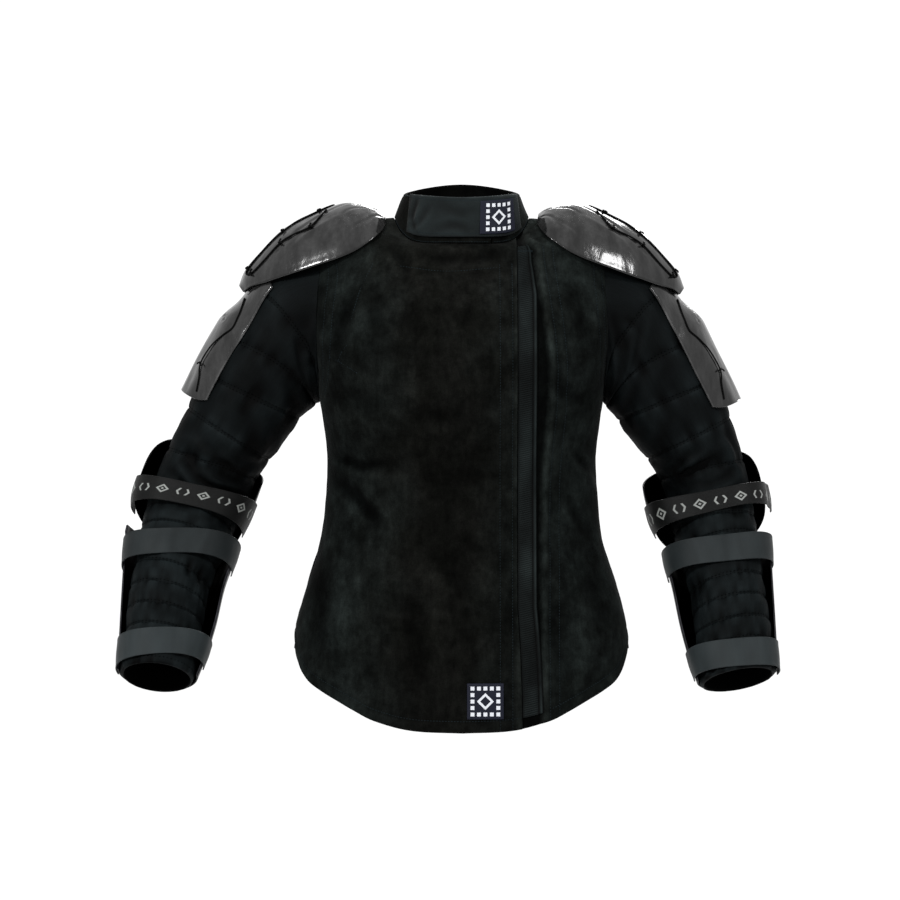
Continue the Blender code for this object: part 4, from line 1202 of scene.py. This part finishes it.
def make_closing():
    """The ribbed webbing tape beside the closing, and the label at the hem."""
    hem_rows = np.arange(TAPE_FOOT_SHARE, 1.0, TAPE_PITCH / 150)
    straight_rows = np.arange(HEM_TOP, TAPE_TOP_LEVEL, TAPE_PITCH)
    levels = np.concatenate([np.full(len(hem_rows), float(HEM_TOP)), straight_rows])
    shares = np.concatenate([hem_rows, np.ones(len(levels) - len(hem_rows))])
    ribbed, rolled = np.arange(3, 17, 2.8), np.arange(17.4, 23.4, 0.85)
    side = np.concatenate([[0, 0.3, 0.8], ribbed, rolled, [23.6, TAPE_WIDTH]])
    across = side / TAPE_WIDTH
    near, far = TAPE_FROM, tape_end(levels)
    angles = angle_at(levels[:, None], x=near + (far - near)[:, None] * across)
    heights = levels[:, None] + (hem_level(angles, False) - levels[:, None]) * (1 - shares[:, None])
    middle = body(angles, heights, left_front_out(angles, heights) + SEAM + TAPE / 2)
    up = Grid.lengths(middle, 0)
    ribs = 0.3 * np.cos(2 * math.pi * up / TAPE_RIB) * (side > 1.5) * (side < 18)
    roll = 1.0 * bell(side - TAPE_ROLL, 1.3) - 0.7 * bell(side - TAPE_GROOVE, 0.9)
    waves = 0.5 * speckle(middle, 60, 3, 1) + 0.5 * np.sin(up / 23.0) * np.sin(across * math.pi)
    grid = Grid(middle, TAPE, middle * (0, 0, 1), ribs + roll + waves, rim=0.8, follow=0.0)
    # Painted light and shade: rib tops, waves and the roll lighter, the groove darker, painted shadow at the
    # far edge by the rolled edge, and the near edge darker
    wear_and_painted_light = 0.42 + 0.9 * ribs + 0.35 * waves + 0.3 * bell(side - 21.4, 0.8)
    wear_and_painted_light = wear_and_painted_light - 0.6 * bell(side - TAPE_GROOVE, 0.9) - ease((side - 22.6) / 0.8) - ease(1 - side / 1.6) * 0.4
    add_wall("placket_webbing", grid, "webbing", "placket_tape", wear_and_painted_light=wear_and_painted_light)
    bars = [smooth_line(((67.9, -46.0 - drop), (87.0, -46.2 - drop)), 12) for drop in (0, 1.5)]
    rows = [on_front(grid, bar) for bar in bars]
    stitch_rows("stitching_tape", rows, "body_thread", "webbing", pitch=2.2, length=2.0)

    xs = spaced(HEM_LABEL_X[0], HEM_LABEL_X[1], 2.0, (0.3, 0.8))
    zs = spaced(HEM_LABEL_Z[0], HEM_LABEL_Z[1], 2.0, (0.3, 0.8))
    level, x = net(zs, xs)
    middle = body(angle_at(level, x=x), level, SEAM + LABEL / 2)
    grid = Grid(middle, LABEL, middle * (0, 0, 1), 0.15 * speckle(middle, 14, 4, 1) + 0.3)
    width, height = xs[-1] - xs[0], zs[-1] - zs[0]
    woven = make_label("hem_label", width, height)
    add_wall("hem_label_woven", grid, "label", "hem_label", material=woven)


def collar_surface(angle, reach):
    """The collar's outer surface, from the neckline at 0 to its top edge at 1."""
    sine, cosine = np.sin(np.radians(angle)), np.cos(np.radians(angle))
    front = cosine > 0
    depth = np.where(front, COLLAR_FRONT, COLLAR_BACK)
    end = np.where(front, COLLAR_TOP["front"], COLLAR_TOP["back"])
    height = COLLAR_TOP["side"] + (end - COLLAR_TOP["side"]) * np.abs(cosine) ** COLLAR_TURN
    power = COLLAR_SQUARENESS
    radius = (np.abs(sine / COLLAR_HALF) ** power + np.abs(cosine / depth) ** power) ** (-1 / power)
    top = xyz(radius * sine, -radius * cosine, height)
    foot = body_ring(angle, 0.0 * angle) + (0, 0, SEAM)
    return foot + (top - foot) * np.asarray(reach)[..., None]


def collar(angle, reach, out):
    return with_normal(collar_surface, angle, reach, out, 0.5, 0.05, lambda p: p * (1, 1, 0))


def make_collar():
    angles = spaced(COLLAR_SPLIT + 1, COLLAR_SPLIT + 359, 2.4, (0.3, 0.8))
    reaches = spaced(0, 60, 2.4, (0.3, 0.9, 1.8)) / 60
    reach, angle = net(reaches, angles)
    middle = collar(angle, reach, -COLLAR_WALL / 2 + 0 * angle)
    folds = 0.9 * np.sin(np.radians(angle * 7 + 40)) * reach * (1 - reach) * 2
    relief = folds + 0.7 * speckle(middle, 26, 11, 2) - 0.6 * bell(reach - 0.92, 0.03)
    grid = Grid(middle, COLLAR_WALL, middle * (0, 0, 1), relief, rim=1.7)
    # Painted shade in the hollows and the groove below the top edge, painted light on the ridges
    add_wall("collar_suede", grid, "suede", "collar", wear_and_painted_light=0.55 + relief / 4, inside=0.0)
    lines = []
    for share in (0.1, 0.92):
        row = share * (len(reaches) - 1)
        columns = np.arange(2.0, len(angles) - 3)
        lines.append(grid.sample(np.full(len(columns), row), columns))

    angles = spaced(FLAP_ANGLES[0], FLAP_ANGLES[1], 1.6, (0.25, 0.7, 1.4))
    low, high = (share * COLLAR_REACH for share in FLAP_REACH)
    reaches = spaced(low, high, 1.7, (0.3, 0.9, 1.7)) / COLLAR_REACH
    reach, angle = net(reaches, angles)
    middle = collar(angle, reach, FLAP_GAP + FLAP_WALL / 2 + 0 * angle)
    share = (angle - FLAP_ANGLES[0]) / (FLAP_ANGLES[1] - FLAP_ANGLES[0])
    relief = 1.3 * speckle(middle, 30, 13, 2)
    for marks, width, depth in FLAP_CREASES:
        relief += crease(share * FLAP_LENGTH, reach * COLLAR_REACH, marks, width, depth)
    grid = Grid(middle, FLAP_WALL, middle * (0, 0, 1), relief, rim=1.7)
    # Painted shade in the hollows and painted light on the folds, and darker within 5 mm of its first end
    wear_and_painted_light = 0.5 + relief / 4 - 0.4 * ease(1 - share * FLAP_LENGTH / 5)
    add_wall("collar_flap_cloth", grid, "flap_cloth", "collar_flap", wear_and_painted_light=wear_and_painted_light, inside=0.1)
    for row in (4.5, len(reaches) - 5.5):
        columns = np.arange(4.0, len(angles) - 5)
        lines.append(grid.sample(np.full(len(columns), row), columns))
    stitch_rows("stitching_collar", lines, "body_thread", "flap_cloth", pitch=3.2)

    angles = spaced(COLLAR_LABEL_ANGLES[0], COLLAR_LABEL_ANGLES[1], 1.6, (0.3, 0.8))
    low, high = (share * COLLAR_REACH for share in COLLAR_LABEL_REACH)
    reaches = spaced(low, high, 2.0, (0.3, 0.8)) / COLLAR_REACH
    reach, angle = net(reaches, angles)
    middle = collar(angle, reach, FLAP_GAP + FLAP_WALL + SEAM + LABEL / 2 + 0 * angle)
    grid = Grid(middle, LABEL, middle * (0, 0, 1), 0.2 + 0.2 * speckle(middle, 14, 15, 1))
    width, height = grid.left[:, -1].mean(), grid.up[-1].mean()
    woven = make_label("collar_label", width, height)
    add_wall("collar_label_woven", grid, "label", "collar_label", material=woven)


class Sleeve:
    """One sleeve's form: its rings by their length along the middle line, from the armhole to the cuff."""

    def __init__(self, side):
        self.side = side
        self.sign = SIDES[side]
        rows = np.array(SLEEVES[side], float)
        middle = np.stack([(rows[:, 0] + rows[:, 2]) / 2, rows[:, 4], (rows[:, 1] + rows[:, 3]) / 2], -1)
        steps = np.linalg.norm(np.diff(middle, axis=0), axis=1)
        lengths = np.concatenate([[0], np.cumsum(steps)])
        self.rings = np.column_stack([lengths, rows])
        self.length = lengths[-1]
        forearm = [FOREARM_LAST[side] - FOREARM_PITCH * k for k in range(FOREARM_COUNT - 1, -1, -1)]
        self.lines = [0.0, *UPPER_LINES, *forearm, self.length]

    def lengths(self, place, angle):
        """Lengths of the points of a slanted ring that has this length at the outer side."""
        inward = (1 - np.cos(np.radians(angle))) * np.minimum(1, place / self.lines[1])
        s = place + 0.0 * angle
        for _ in range(8):
            s = place - curve(LINE_SLANT, s)[0] * inward
        return s

    def channel(self, place):
        """Which channel the slanted rings are in, and how far along it they are, from 0 to 1."""
        lines = np.array(self.lines)
        number = np.clip(np.searchsorted(lines, place, side="right") - 1, 0, len(lines) - 2)
        return number, (place - lines[number]) / (lines[number + 1] - lines[number])

    def fold(self, s, angle):
        deep = 0.0 * s
        for start_s, start_angle, end_s, end_angle, half_width, depth in ELBOW_FOLDS:
            ends = (start_s, start_angle), (end_s, end_angle)
            deep = np.maximum(deep, depth * groove(s, angle % 360, *ends, half_width))
        return deep

    def root(self, angle, grow):
        """Points of the armhole's seam, on the body's surface, grown beyond the opening's edge."""
        turn = np.radians(angle)
        level = ARMHOLE_LEVEL + (ARMHOLE_HALF + grow) * np.cos(turn)
        y = -(ARMHOLE_DEPTH + grow) * np.sin(turn)
        around = angle_at(level, y=y)
        return body(self.sign * np.where(y <= 0, around, 180 - around), level, SEAM)

    def centre(self, s):
        outer_x, outer_z, inner_x, inner_z, y, _, _ = curve(self.rings, s)
        return xyz((outer_x + inner_x) / 2 * self.sign, y, (outer_z + inner_z) / 2)

    def point(self, s, angle, out=0.0):
        """Points at these lengths and angles. Angle 0 is the outer side and 90 the front."""
        outer_x, outer_z, inner_x, inner_z, y, half_depth, lean = curve(self.rings, s)
        outer = xyz(outer_x * self.sign, y, outer_z)
        inner = xyz(inner_x * self.sign, y, inner_z)
        tilt, turn = np.radians(lean), np.radians(angle)
        forward = xyz(0, -np.cos(tilt), np.sin(tilt))
        half = np.linalg.norm(outer - inner, axis=-1) / 2 + out
        reach = half * np.cos(turn)
        tube = (outer + inner) / 2 + unit(outer - inner) * reach[..., None]
        tube = tube + forward * ((half_depth + out) * np.sin(turn))[..., None]
        blend = ease(s / ROOT_END)[..., None]
        root = self.root(angle, LINING + out)
        return root + (tube - root) * blend


def make_sleeve(sleeve):
    """The quilted tube, with puckers along each sewn line and soft creases between them."""
    places = []
    for start, end in zip(sleeve.lines, sleeve.lines[1:]):
        places += np.linspace(start, end, max(6, round((end - start) / 2.9)), endpoint=False).tolist()
    places = np.array(sorted(set(places) | {0.5, 1.1, 1.9, *[sleeve.length - d for d in (1.8, 1.0, 0.4, 0)]}))
    angles = np.linspace(0, 360, SLEEVE_COLUMNS, endpoint=False)
    place, angle = net(places, angles)
    s = sleeve.lengths(place, angle)
    number, t = sleeve.channel(place)
    gap = np.diff(sleeve.lines)[number]
    from_line = np.minimum(t, 1 - t) * gap
    dip = QUILT * (1 - np.sqrt(np.clip(4 * t * (1 - t), 0, 1))) * ease(s / ROOT_FILL)
    form = -dip - sleeve.fold(s, angle)
    line_number = np.where(t < 0.5, number, number + 1)
    circle = np.radians(angle)
    seeds = xyz(np.cos(circle) * 42, np.sin(circle) * 42, line_number * 60.0)
    pucker = speckle(seeds, 9.5, 3 if sleeve.side == "right" else 8, 2)
    inside = speckle(xyz(np.cos(circle) * 42, np.sin(circle) * 42, s), 30, 17, 2)
    drawn = pucker * np.exp(-from_line / 8) * ease(from_line / 1.2 + 0.35)
    relief = 3.0 * drawn + 1.6 * inside
    relief = relief * ease(s / 12)
    marks = [(tuple((a, b * ROUND_MM) for a, b in line), w, d) for line, w, d in SLEEVE_CREASES[sleeve.side]]
    folds = creases(s, angle * ROUND_MM, marks)
    relief = relief + 1.3 * folds * ease(s / 10)
    # Painted light and shade: the upper arm darker as shade with its front-outer side lighter as lit, pucker
    # tops and soft creases' rises lighter, the sewn lines darker
    upper = ease((300 - s) / 60)
    lit = np.cos(np.radians(angle - 55))
    wear_and_painted_light = 0.66 - 0.46 * upper + 0.24 * lit * upper + 1.3 * drawn + 0.13 * folds + 0.3 * inside
    wear_and_painted_light = wear_and_painted_light - 0.14 * bell(from_line, 2.2)
    inward = LINING + QUILT * ease(s / ROOT_FILL) + FOLD_INSIDE * sleeve.fold(s, angle)
    inner = sleeve.point(s, angle, -inward)
    outer = sleeve.point(s, angle, form)
    middle = (outer + inner) / 2
    centre = middle.mean(1, keepdims=True)
    grid = Grid(middle, 1.0, centre, 0.0, closed=True)
    free = np.minimum(s, sleeve.length - s)
    edge = np.sqrt(1 - (1 - np.clip(free / 2.5, 0, 1)) ** 2)
    lift = (relief * np.clip(free / 4, 0, 1))[..., None] * grid.normal
    grid.outer = middle + (outer - middle) * edge[..., None] + lift
    grid.inner = middle + (inner - middle) * np.maximum(edge, 0.3)[..., None]
    turn_length = 300.0
    name = f"sleeve_{sleeve.side}"
    uv = (angle / 360 * turn_length, s)
    add_wall(f"{name}_quilted", grid, "quilted_cotton", name, uv=uv, wear_and_painted_light=wear_and_painted_light, inside=0.0)
    rows = []
    around = np.linspace(0, SLEEVE_COLUMNS, 2 * SLEEVE_COLUMNS)
    for line in [line + off for line in sleeve.lines[1:-1] for off in (-1.6, 1.6)] + [sleeve.length - 8]:
        row = np.full(len(around), np.interp(line, places, np.arange(len(places))))
        keep = sleeve.lengths(np.full(len(around), line), around / SLEEVE_COLUMNS * 360) > 6
        points, normals = grid.sample(row, around, 0.15)
        rows.append((points[keep], normals[keep]))
    stitch_rows(f"stitching_{name}", rows, "sleeve_thread", "quilted_cotton", *SLEEVE_STITCH)
    return grid


def arm_plate_stand(side, s, angle):
    share = ARM_PLATE_FLAT + (1 - ARM_PLATE_FLAT) * ease((s - ARM_PLATE_UNDER) / ARM_PLATE_RISE)
    return ARM_PLATE_EDGE + ARM_PLATE_CROWN[side] * share * (1 - (angle / ARM_PLATE_ANGLE) ** 2)


def cup_stand(side, s, angle):
    outer, inner = CUP_STAND[side]
    along = np.sqrt(np.clip(1 - ((s - CUP_MIDDLE) / (CUP_HALF * CUP_FADE)) ** 2, 0, None))
    across = np.cos(np.radians(angle))
    at_side = (outer + inner) / 2 + (outer - inner) / 2 * across
    return CUP_EDGE + along * (CUP_BACK + (at_side - CUP_BACK) * across ** 2)


def guard_stand(side, s, angle, length):
    outer, inner = GUARD_STAND[side]
    across = np.cos(np.radians(angle))
    at_side = (outer + inner) / 2 + (outer - inner) / 2 * across
    left = np.clip(1 - (s - GUARD_FROM) / (length - GUARD_SHORT - GUARD_FROM), 0, None)
    bulge = GUARD_BULGE[side] * 4 * left * np.clip(1 - left, 0, None) * np.clip(-across, 0, None)
    return GUARD_END + left ** GUARD_TAPER * (GUARD_BACK + (at_side - GUARD_BACK) * across ** 2) + bulge


def make_arm_plate(sleeve):
    """The upper-arm plate: a trough down its middle, a low flange and a notched foot."""
    shares, turns = net(even(0, 130, 1.6), even(-ARM_PLATE_HALF, ARM_PLATE_HALF, 1.4))
    angle = ARM_PLATE_ANGLE * turns
    top = ARM_PLATE_FROM - 4 * turns * turns
    foot = ARM_PLATE_TO + 10 - 9 * np.abs(turns) ** 5 - 3.0 * bell(turns + 0.1, 0.14)
    s = top + (foot - top) * shares
    middle = sleeve.point(s, angle, arm_plate_stand(sleeve.side, s, angle) + PLASTIC / 2)
    trough = -2.2 * bell(turns - 0.32, 0.2) * ease((shares - 0.25) * 3)
    trough = trough - 1.6 * bell(turns + 0.18, 0.1) * ease((shares - 0.86) * 9)
    flange = 0.7 * ease((np.abs(turns) - 0.86) * 9)
    side_mm, along_mm = turns * ARM_PLATE_HALF, shares * (ARM_PLATE_TO - ARM_PLATE_FROM)
    eyelets = 0.0 * turns
    for at_side, at_length in ARM_PLATE_EYELETS:
        off = np.hypot(side_mm - at_side, along_mm - at_length)
        eyelets = np.maximum(eyelets, bell(off - 2.4, 1.0))
        trough = trough - 1.0 * bell(off, 1.7)
    # Painted highlights on the inner lip and the eyelets' rims, and painted shade along the outer edge
    lip_and_eyelet_highlight = np.maximum(0.5 * ease((turns - 0.965) * 40) * ease(shares * 4), 0.45 * eyelets)
    wear_and_painted_light = 0.5 + lip_and_eyelet_highlight - 0.45 * ease((-turns - 0.93) * 20)
    grid = Grid(middle, PLASTIC - 0.8, sleeve.centre(s), trough + flange + 0.7 * eyelets)
    name = f"arm_plate_{sleeve.side}"
    add_wall(f"{name}_shell", grid, "shell_plastic", name, wear_and_painted_light=wear_and_painted_light, inside=0.2)
    return grid


def rounded_shares(count):
    """Values from -1 to 1, closer together at both ends."""
    return np.sin(np.radians(np.linspace(-90, 90, count)))


def make_elbow_cup(sleeve):
    share, turn = net(rounded_shares(40), rounded_shares(64) * CUP_REACH)
    half = CUP_HALF * (1 - np.abs(turn) ** CUP_ROUND) ** (1 / CUP_ROUND)
    s = CUP_MIDDLE + half * share
    angle = -90 + CUP_ANGLE * turn
    middle = sleeve.point(s, angle, cup_stand(sleeve.side, s, angle) + PLASTIC / 2)
    across = np.abs(share) * (1 - np.abs(turn) ** 6)
    relief = 0.8 * ease((across - 0.8) * 7) - 0.6 * bell(np.abs(share) - 0.62, 0.06) * (np.abs(turn) < 0.8)
    grid = Grid(middle, PLASTIC - 0.6, sleeve.centre(s), relief)
    name = f"elbow_cup_{sleeve.side}"
    # Painted highlight along the rim
    wear_and_painted_light = 0.5 + 0.5 * ease((across - 0.95) * 24)
    add_wall(f"{name}_shell", grid, "guard_plastic", name, wear_and_painted_light=wear_and_painted_light, inside=0.1)


def make_guard(sleeve):
    foot = sleeve.length - GUARD_SHORT
    share, turn = net(even(0, 195, 3.2), even(-90, 90, 2.8))
    angle = -90 + GUARD_ANGLE * turn
    top = GUARD_FROM + GUARD_TOP_DIP * turn ** 6
    s = top + (foot - top) * share
    middle = sleeve.point(s, angle, guard_stand(sleeve.side, s, angle, sleeve.length) + PLASTIC / 2)
    relief = 0.7 * ease((np.abs(turn) - 0.9) * 14) + 0.8 * bell(share - 0.05, 0.02)
    for at in (-0.5, 0.0, 0.5):
        relief = relief - 0.7 * bell(turn - at, 0.05) * ease(share * 6) * ease((1 - share) * 6)
    grid = Grid(middle, PLASTIC - 0.6, sleeve.centre(s), relief)
    name = f"forearm_guard_{sleeve.side}"
    # Painted highlights along the side rims and the top edge
    wear_and_painted_light = 0.5 + 0.5 * ease((np.abs(turn) - 0.975) * 40) + 0.4 * ease((0.012 - share) * 90)
    add_wall(f"{name}_shell", grid, "guard_plastic", name, wear_and_painted_light=wear_and_painted_light, inside=0.1)


def make_bands(sleeve):
    for number, (name, places) in enumerate(BANDS.items()):
        at_outer, at_front, at_inner, width = places[sleeve.side]
        offsets = spaced(-width / 2, width / 2, 2.4, (0.3, 0.8, 1.4))
        angles = spaced(-BAND_WRAP, 180 + BAND_WRAP, 2.0, (0.3, 0.8))
        offset, angle = net(offsets, angles)
        turn = np.radians(np.clip(angle, 0, 180))
        middle_s = (at_outer + at_inner) / 2 + (at_outer - at_inner) / 2 * np.cos(turn)
        middle_s = middle_s + (at_front - (at_outer + at_inner) / 2) * np.sin(turn) ** 2
        s = middle_s + offset
        if name == "elbow_strap":
            edge = cup_stand(sleeve.side, s, angle)
        else:
            edge = guard_stand(sleeve.side, s, angle, sleeve.length)
        from_side = np.where((angle > 0) & (angle < 180), np.minimum(np.abs(angle), np.abs(180 - angle)), 0.0)
        slack = np.clip(from_side - BAND_FLAT, 0, None) * 90 / (90 - BAND_FLAT)
        hold = np.cos(np.radians(slack)) ** 2
        rest = BAND_REST[name] + (edge + PLASTIC + BAND_CLEAR[name] - BAND_REST[name]) * hold
        if name in BAND_FLARE:
            start, end = BAND_FLARE_ANGLES
            rest = rest + BAND_FLARE[name][sleeve.side] * ease((start - angle) / (start - end))
        middle = sleeve.point(s, angle, rest + ELASTIC / 2)
        soft = speckle(xyz(angle * 0.9, offset * 0.3, 0 * angle + number * 40), 14, 21, 2)
        relief = 0.35 * soft
        relief = relief + 0.25 * np.cos(offset / width * 2 * math.pi)
        grid = Grid(middle, ELASTIC - 0.4, sleeve.centre(s), relief)
        finish = "elbow_elastic" if name == "elbow_strap" else "elastic"
        node = f"{name}_{sleeve.side}"
        along = Grid.lengths(middle, 1)[len(offsets) // 2]
        uv = (np.broadcast_to(along, offset.shape), offset + width / 2)
        # The upper strap lies in the cup's shadow
        shade = CUP_SHADE[sleeve.side] if name == "forearm_strap_upper" else 0.0
        # Painted light on the soft rises, and the cup's painted shadow on the upper strap
        add_wall(f"{node}_woven", grid, finish, node, uv=uv, wear_and_painted_light=0.5 - shade + 0.12 * soft, inside=0.2)


def shoulder_surface(side):
    """The surface of one shoulder plate, by its place along the ridge and its turn to the front."""
    table = [(i / (len(SHOULDER_PLATE) - 1),) + row for i, row in enumerate(SHOULDER_PLATE)]
    full = math.radians(PLATE_TURN)
    sign, drop = SIDES[side], PLATE_DROP[side]

    def surface(place, turn):
        ridge_x, ridge_z, edge_x, edge_z, front, back = curve(table, place)
        down = (1 - np.cos(full * turn)) / (1 - math.cos(full))
        out = np.sin(full * turn) / math.sin(full)
        x = ridge_x + (edge_x - ridge_x) * down
        z = ridge_z + (edge_z - ridge_z) * down
        return xyz(sign * x, -out * np.where(turn > 0, front, back), z - drop * ease(2 * place - 0.4))

    def away(p):
        return p - np.array([sign * SHOULDER_CENTRE[0], SHOULDER_CENTRE[1], SHOULDER_CENTRE[2]])

    return lambda place, turn, out: with_normal(surface, place, turn, out, 0.01, 0.02, away)


def make_shoulder_plate(side):
    plate = shoulder_surface(side)
    place, turn = net(even(0, PLATE_SPAN, 2.1), even(-PLATE_REACH, PLATE_REACH, 2.1))
    middle = plate(place, turn, PLASTIC / 2 + 0 * place)
    u, v = place * PLATE_SPAN, turn * PLATE_REACH
    folded = creases(u, v, PLATE_FOLDS)
    relief = 0.8 * folded + sum(crease(u, v, *row) for row in PLATE_CREASES)
    relief = relief + 0.5 * ease((np.abs(turn) - 0.93) * 20)
    hole = np.hypot((place - PLATE_HOLE[0]) * PLATE_SPAN, (turn - PLATE_HOLE[1]) * PLATE_REACH)
    relief = relief - 1.2 * bell(hole, 1.8)
    # Painted shade: darker along the edges, in the hole, at the collar end and in the folds' troughs
    wear_and_painted_light = 0.5 - 0.5 * ease((np.abs(turn) - 0.955) * 30) - 0.45 * bell(hole, 2.0)
    wear_and_painted_light = wear_and_painted_light - 0.3 * ease(1 - u / 6) + 0.35 * folded
    centre = np.array([SIDES[side] * SHOULDER_CENTRE[0], SHOULDER_CENTRE[1], SHOULDER_CENTRE[2]])
    grid = Grid(middle, PLASTIC - 0.8, centre, relief)
    name = f"shoulder_plate_{side}"
    add_wall(f"{name}_shell", grid, "shell_plastic", name, wear_and_painted_light=wear_and_painted_light, inside=0.1)
    return plate


def tube(name, lines, radius, material, slot, sides=8):
    """Round cords along lines of points, as one piece."""
    points, faces, uvs = [], [], []
    start = 0
    for line in lines:
        line = np.asarray(line)
        ahead = unit(np.gradient(line, axis=0))
        side = np.cross(ahead[0], (0.3, 0.2, 1.0))
        frames = []
        for direction in ahead:
            side = unit(side - direction * side.dot(direction))
            frames.append((side, np.cross(direction, side)))
        steps = np.concatenate([[0], np.cumsum(np.linalg.norm(np.diff(line, axis=0), axis=1))])
        turns = np.linspace(0, 2 * math.pi, sides, endpoint=False)
        for i, (point, (a, b)) in enumerate(zip(line, frames)):
            girth = radius * (0.35 if i in (0, len(line) - 1) else 1.0)
            points += [point + girth * (a * math.cos(t) + b * math.sin(t)) for t in turns]
        for i in range(len(line) - 1):
            for j in range(sides):
                k = (j + 1) % sides
                low, high = start + i * sides, start + (i + 1) * sides
                faces.append((low + j, low + k, high + k, high + j))
                uvs += [(j / sides * 8, steps[i]), ((j + 1) / sides * 8, steps[i]),
                        ((j + 1) / sides * 8, steps[i + 1]), (j / sides * 8, steps[i + 1])]
        last = start + (len(line) - 1) * sides
        faces.append(tuple(start + j for j in reversed(range(sides))))
        faces.append(tuple(last + j for j in range(sides)))
        uvs += [(0, 0)] * (2 * sides)
        start += len(line) * sides
    return add_mesh(name, points, faces, material, uv=np.array(uvs) * MM, angle=60)


def knot_lines(at, along, up, size):
    """A small overhand knot: two rounds about the lace, lying on the surface."""
    side = np.cross(up, along)
    t = np.linspace(0, 1, 34)
    turn = 2 * math.pi * 2.0 * t
    round_along = (t - 0.5) * size * 1.5
    ring = np.outer(np.cos(turn), side) * size + np.outer(np.sin(turn), up) * size * 0.75
    return at + np.outer(round_along, along) + ring


def make_lace(name, marks, place, tails, radius):
    """A lace through its marks on a surface, with its knots and short free ends."""
    table = np.array(marks, float)
    line = smooth_line([tuple(row[:2]) for row in table], 130)
    normal_out = radius * 0.6
    points = place(line[:, 0], line[:, 1], normal_out + 0 * line[:, 0])
    lines = [points]
    for u, v, knot in marks:
        if not knot:
            continue
        at = place(np.array([u]), np.array([v]), np.array([normal_out + 0.6]))[0]
        up = unit(at - place(np.array([u]), np.array([v]), np.array([0.0]))[0])
        near = np.argmin(np.linalg.norm(points - at, axis=1))
        along = unit(points[min(near + 2, len(points) - 1)] - points[max(near - 2, 0)])
        along = unit(along - up * along.dot(up))
        lines.append(knot_lines(at, along, up, radius * 1.35))
        for turn, reach in tails:
            side = np.cross(up, along)
            way = unit(along * math.cos(turn) + side * math.sin(turn))
            t = np.linspace(0, 1, 10)[:, None]
            lines.append(at + up * 0.8 + way * reach * t + up * (0.8 * np.sin(math.pi * t) - 1.0 * t))
    piece = tube(f"{name}_braided", lines, radius, finishes["cord"], "cord")
    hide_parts(name)


def make_side(side):
    sleeve = Sleeve(side)
    make_sleeve(sleeve)
    make_arm_plate(sleeve)
    make_elbow_cup(sleeve)
    make_guard(sleeve)
    make_bands(sleeve)
    plate = make_shoulder_plate(side)
    make_lace(f"shoulder_lace_{side}", SHOULDER_LACE, lambda u, v, out: plate(u, v, PLASTIC + out),
              SHOULDER_TAILS, LACE_RADIUS * SHOULDER_LACE_SHARE)

    def on_arm_plate(s, angle, out):
        return sleeve.point(s, angle, arm_plate_stand(side, s, angle) + PLASTIC + out)

    make_lace(f"arm_lace_{side}", ARM_LACE, on_arm_plate, ARM_TAILS, LACE_RADIUS * ARM_LACE_SHARE)


def make_stage():
    """A pale floor far below the jacket, with soft lights round it."""
    mesh = bpy.data.meshes.new("floor")
    bm = bmesh.new()
    bmesh.ops.create_circle(bm, cap_ends=True, segments=96, radius=FLOOR_RADIUS)
    bm.to_mesh(mesh)
    bm.free()
    floor = bpy.data.objects.new("floor", mesh)
    floor.location = (0, 0, FLOOR_LEVEL)
    bpy.context.scene.collection.objects.link(floor)
    finish = Finish("pale_floor", 0.9)
    finish.shader.inputs["Base Color"].default_value = (0.95, 0.95, 0.95, 1)
    mesh.materials.append(finish.material)
    world = bpy.data.worlds.new("studio")
    world.use_nodes = True
    background = world.node_tree.nodes["Background"]
    background.inputs["Color"].default_value = (1, 1, 1, 1)
    background.inputs["Strength"].default_value = 1.1
    bpy.context.scene.view_settings.view_transform = "Standard"
    bpy.context.scene.world = world
    for name, (at, size, power, in_gloss) in LIGHTS.items():
        light = bpy.data.lights.new(name, "AREA")
        light.shape, light.size, light.energy = "DISK", size, power
        lamp = bpy.data.objects.new(name, light)
        lamp.location = at
        lamp.rotation_euler = (Vector(LIT_POINT) - Vector(at)).to_track_quat("-Z", "Y").to_euler()
        bpy.context.scene.collection.objects.link(lamp)
        lamp.visible_glossy = in_gloss


def make_camera():
    data = bpy.data.cameras.new("camera")
    data.lens, data.sensor_width = LENS, SENSOR
    camera = bpy.data.objects.new("camera", data)
    camera.location = CAMERA_AT
    camera.rotation_euler = (math.pi / 2, 0, 0)
    bpy.context.scene.collection.objects.link(camera)
    bpy.context.scene.camera = camera


make_camera()
make_stage()
make_body()
make_closing()
make_collar()
for arm in SIDES:
    make_side(arm)
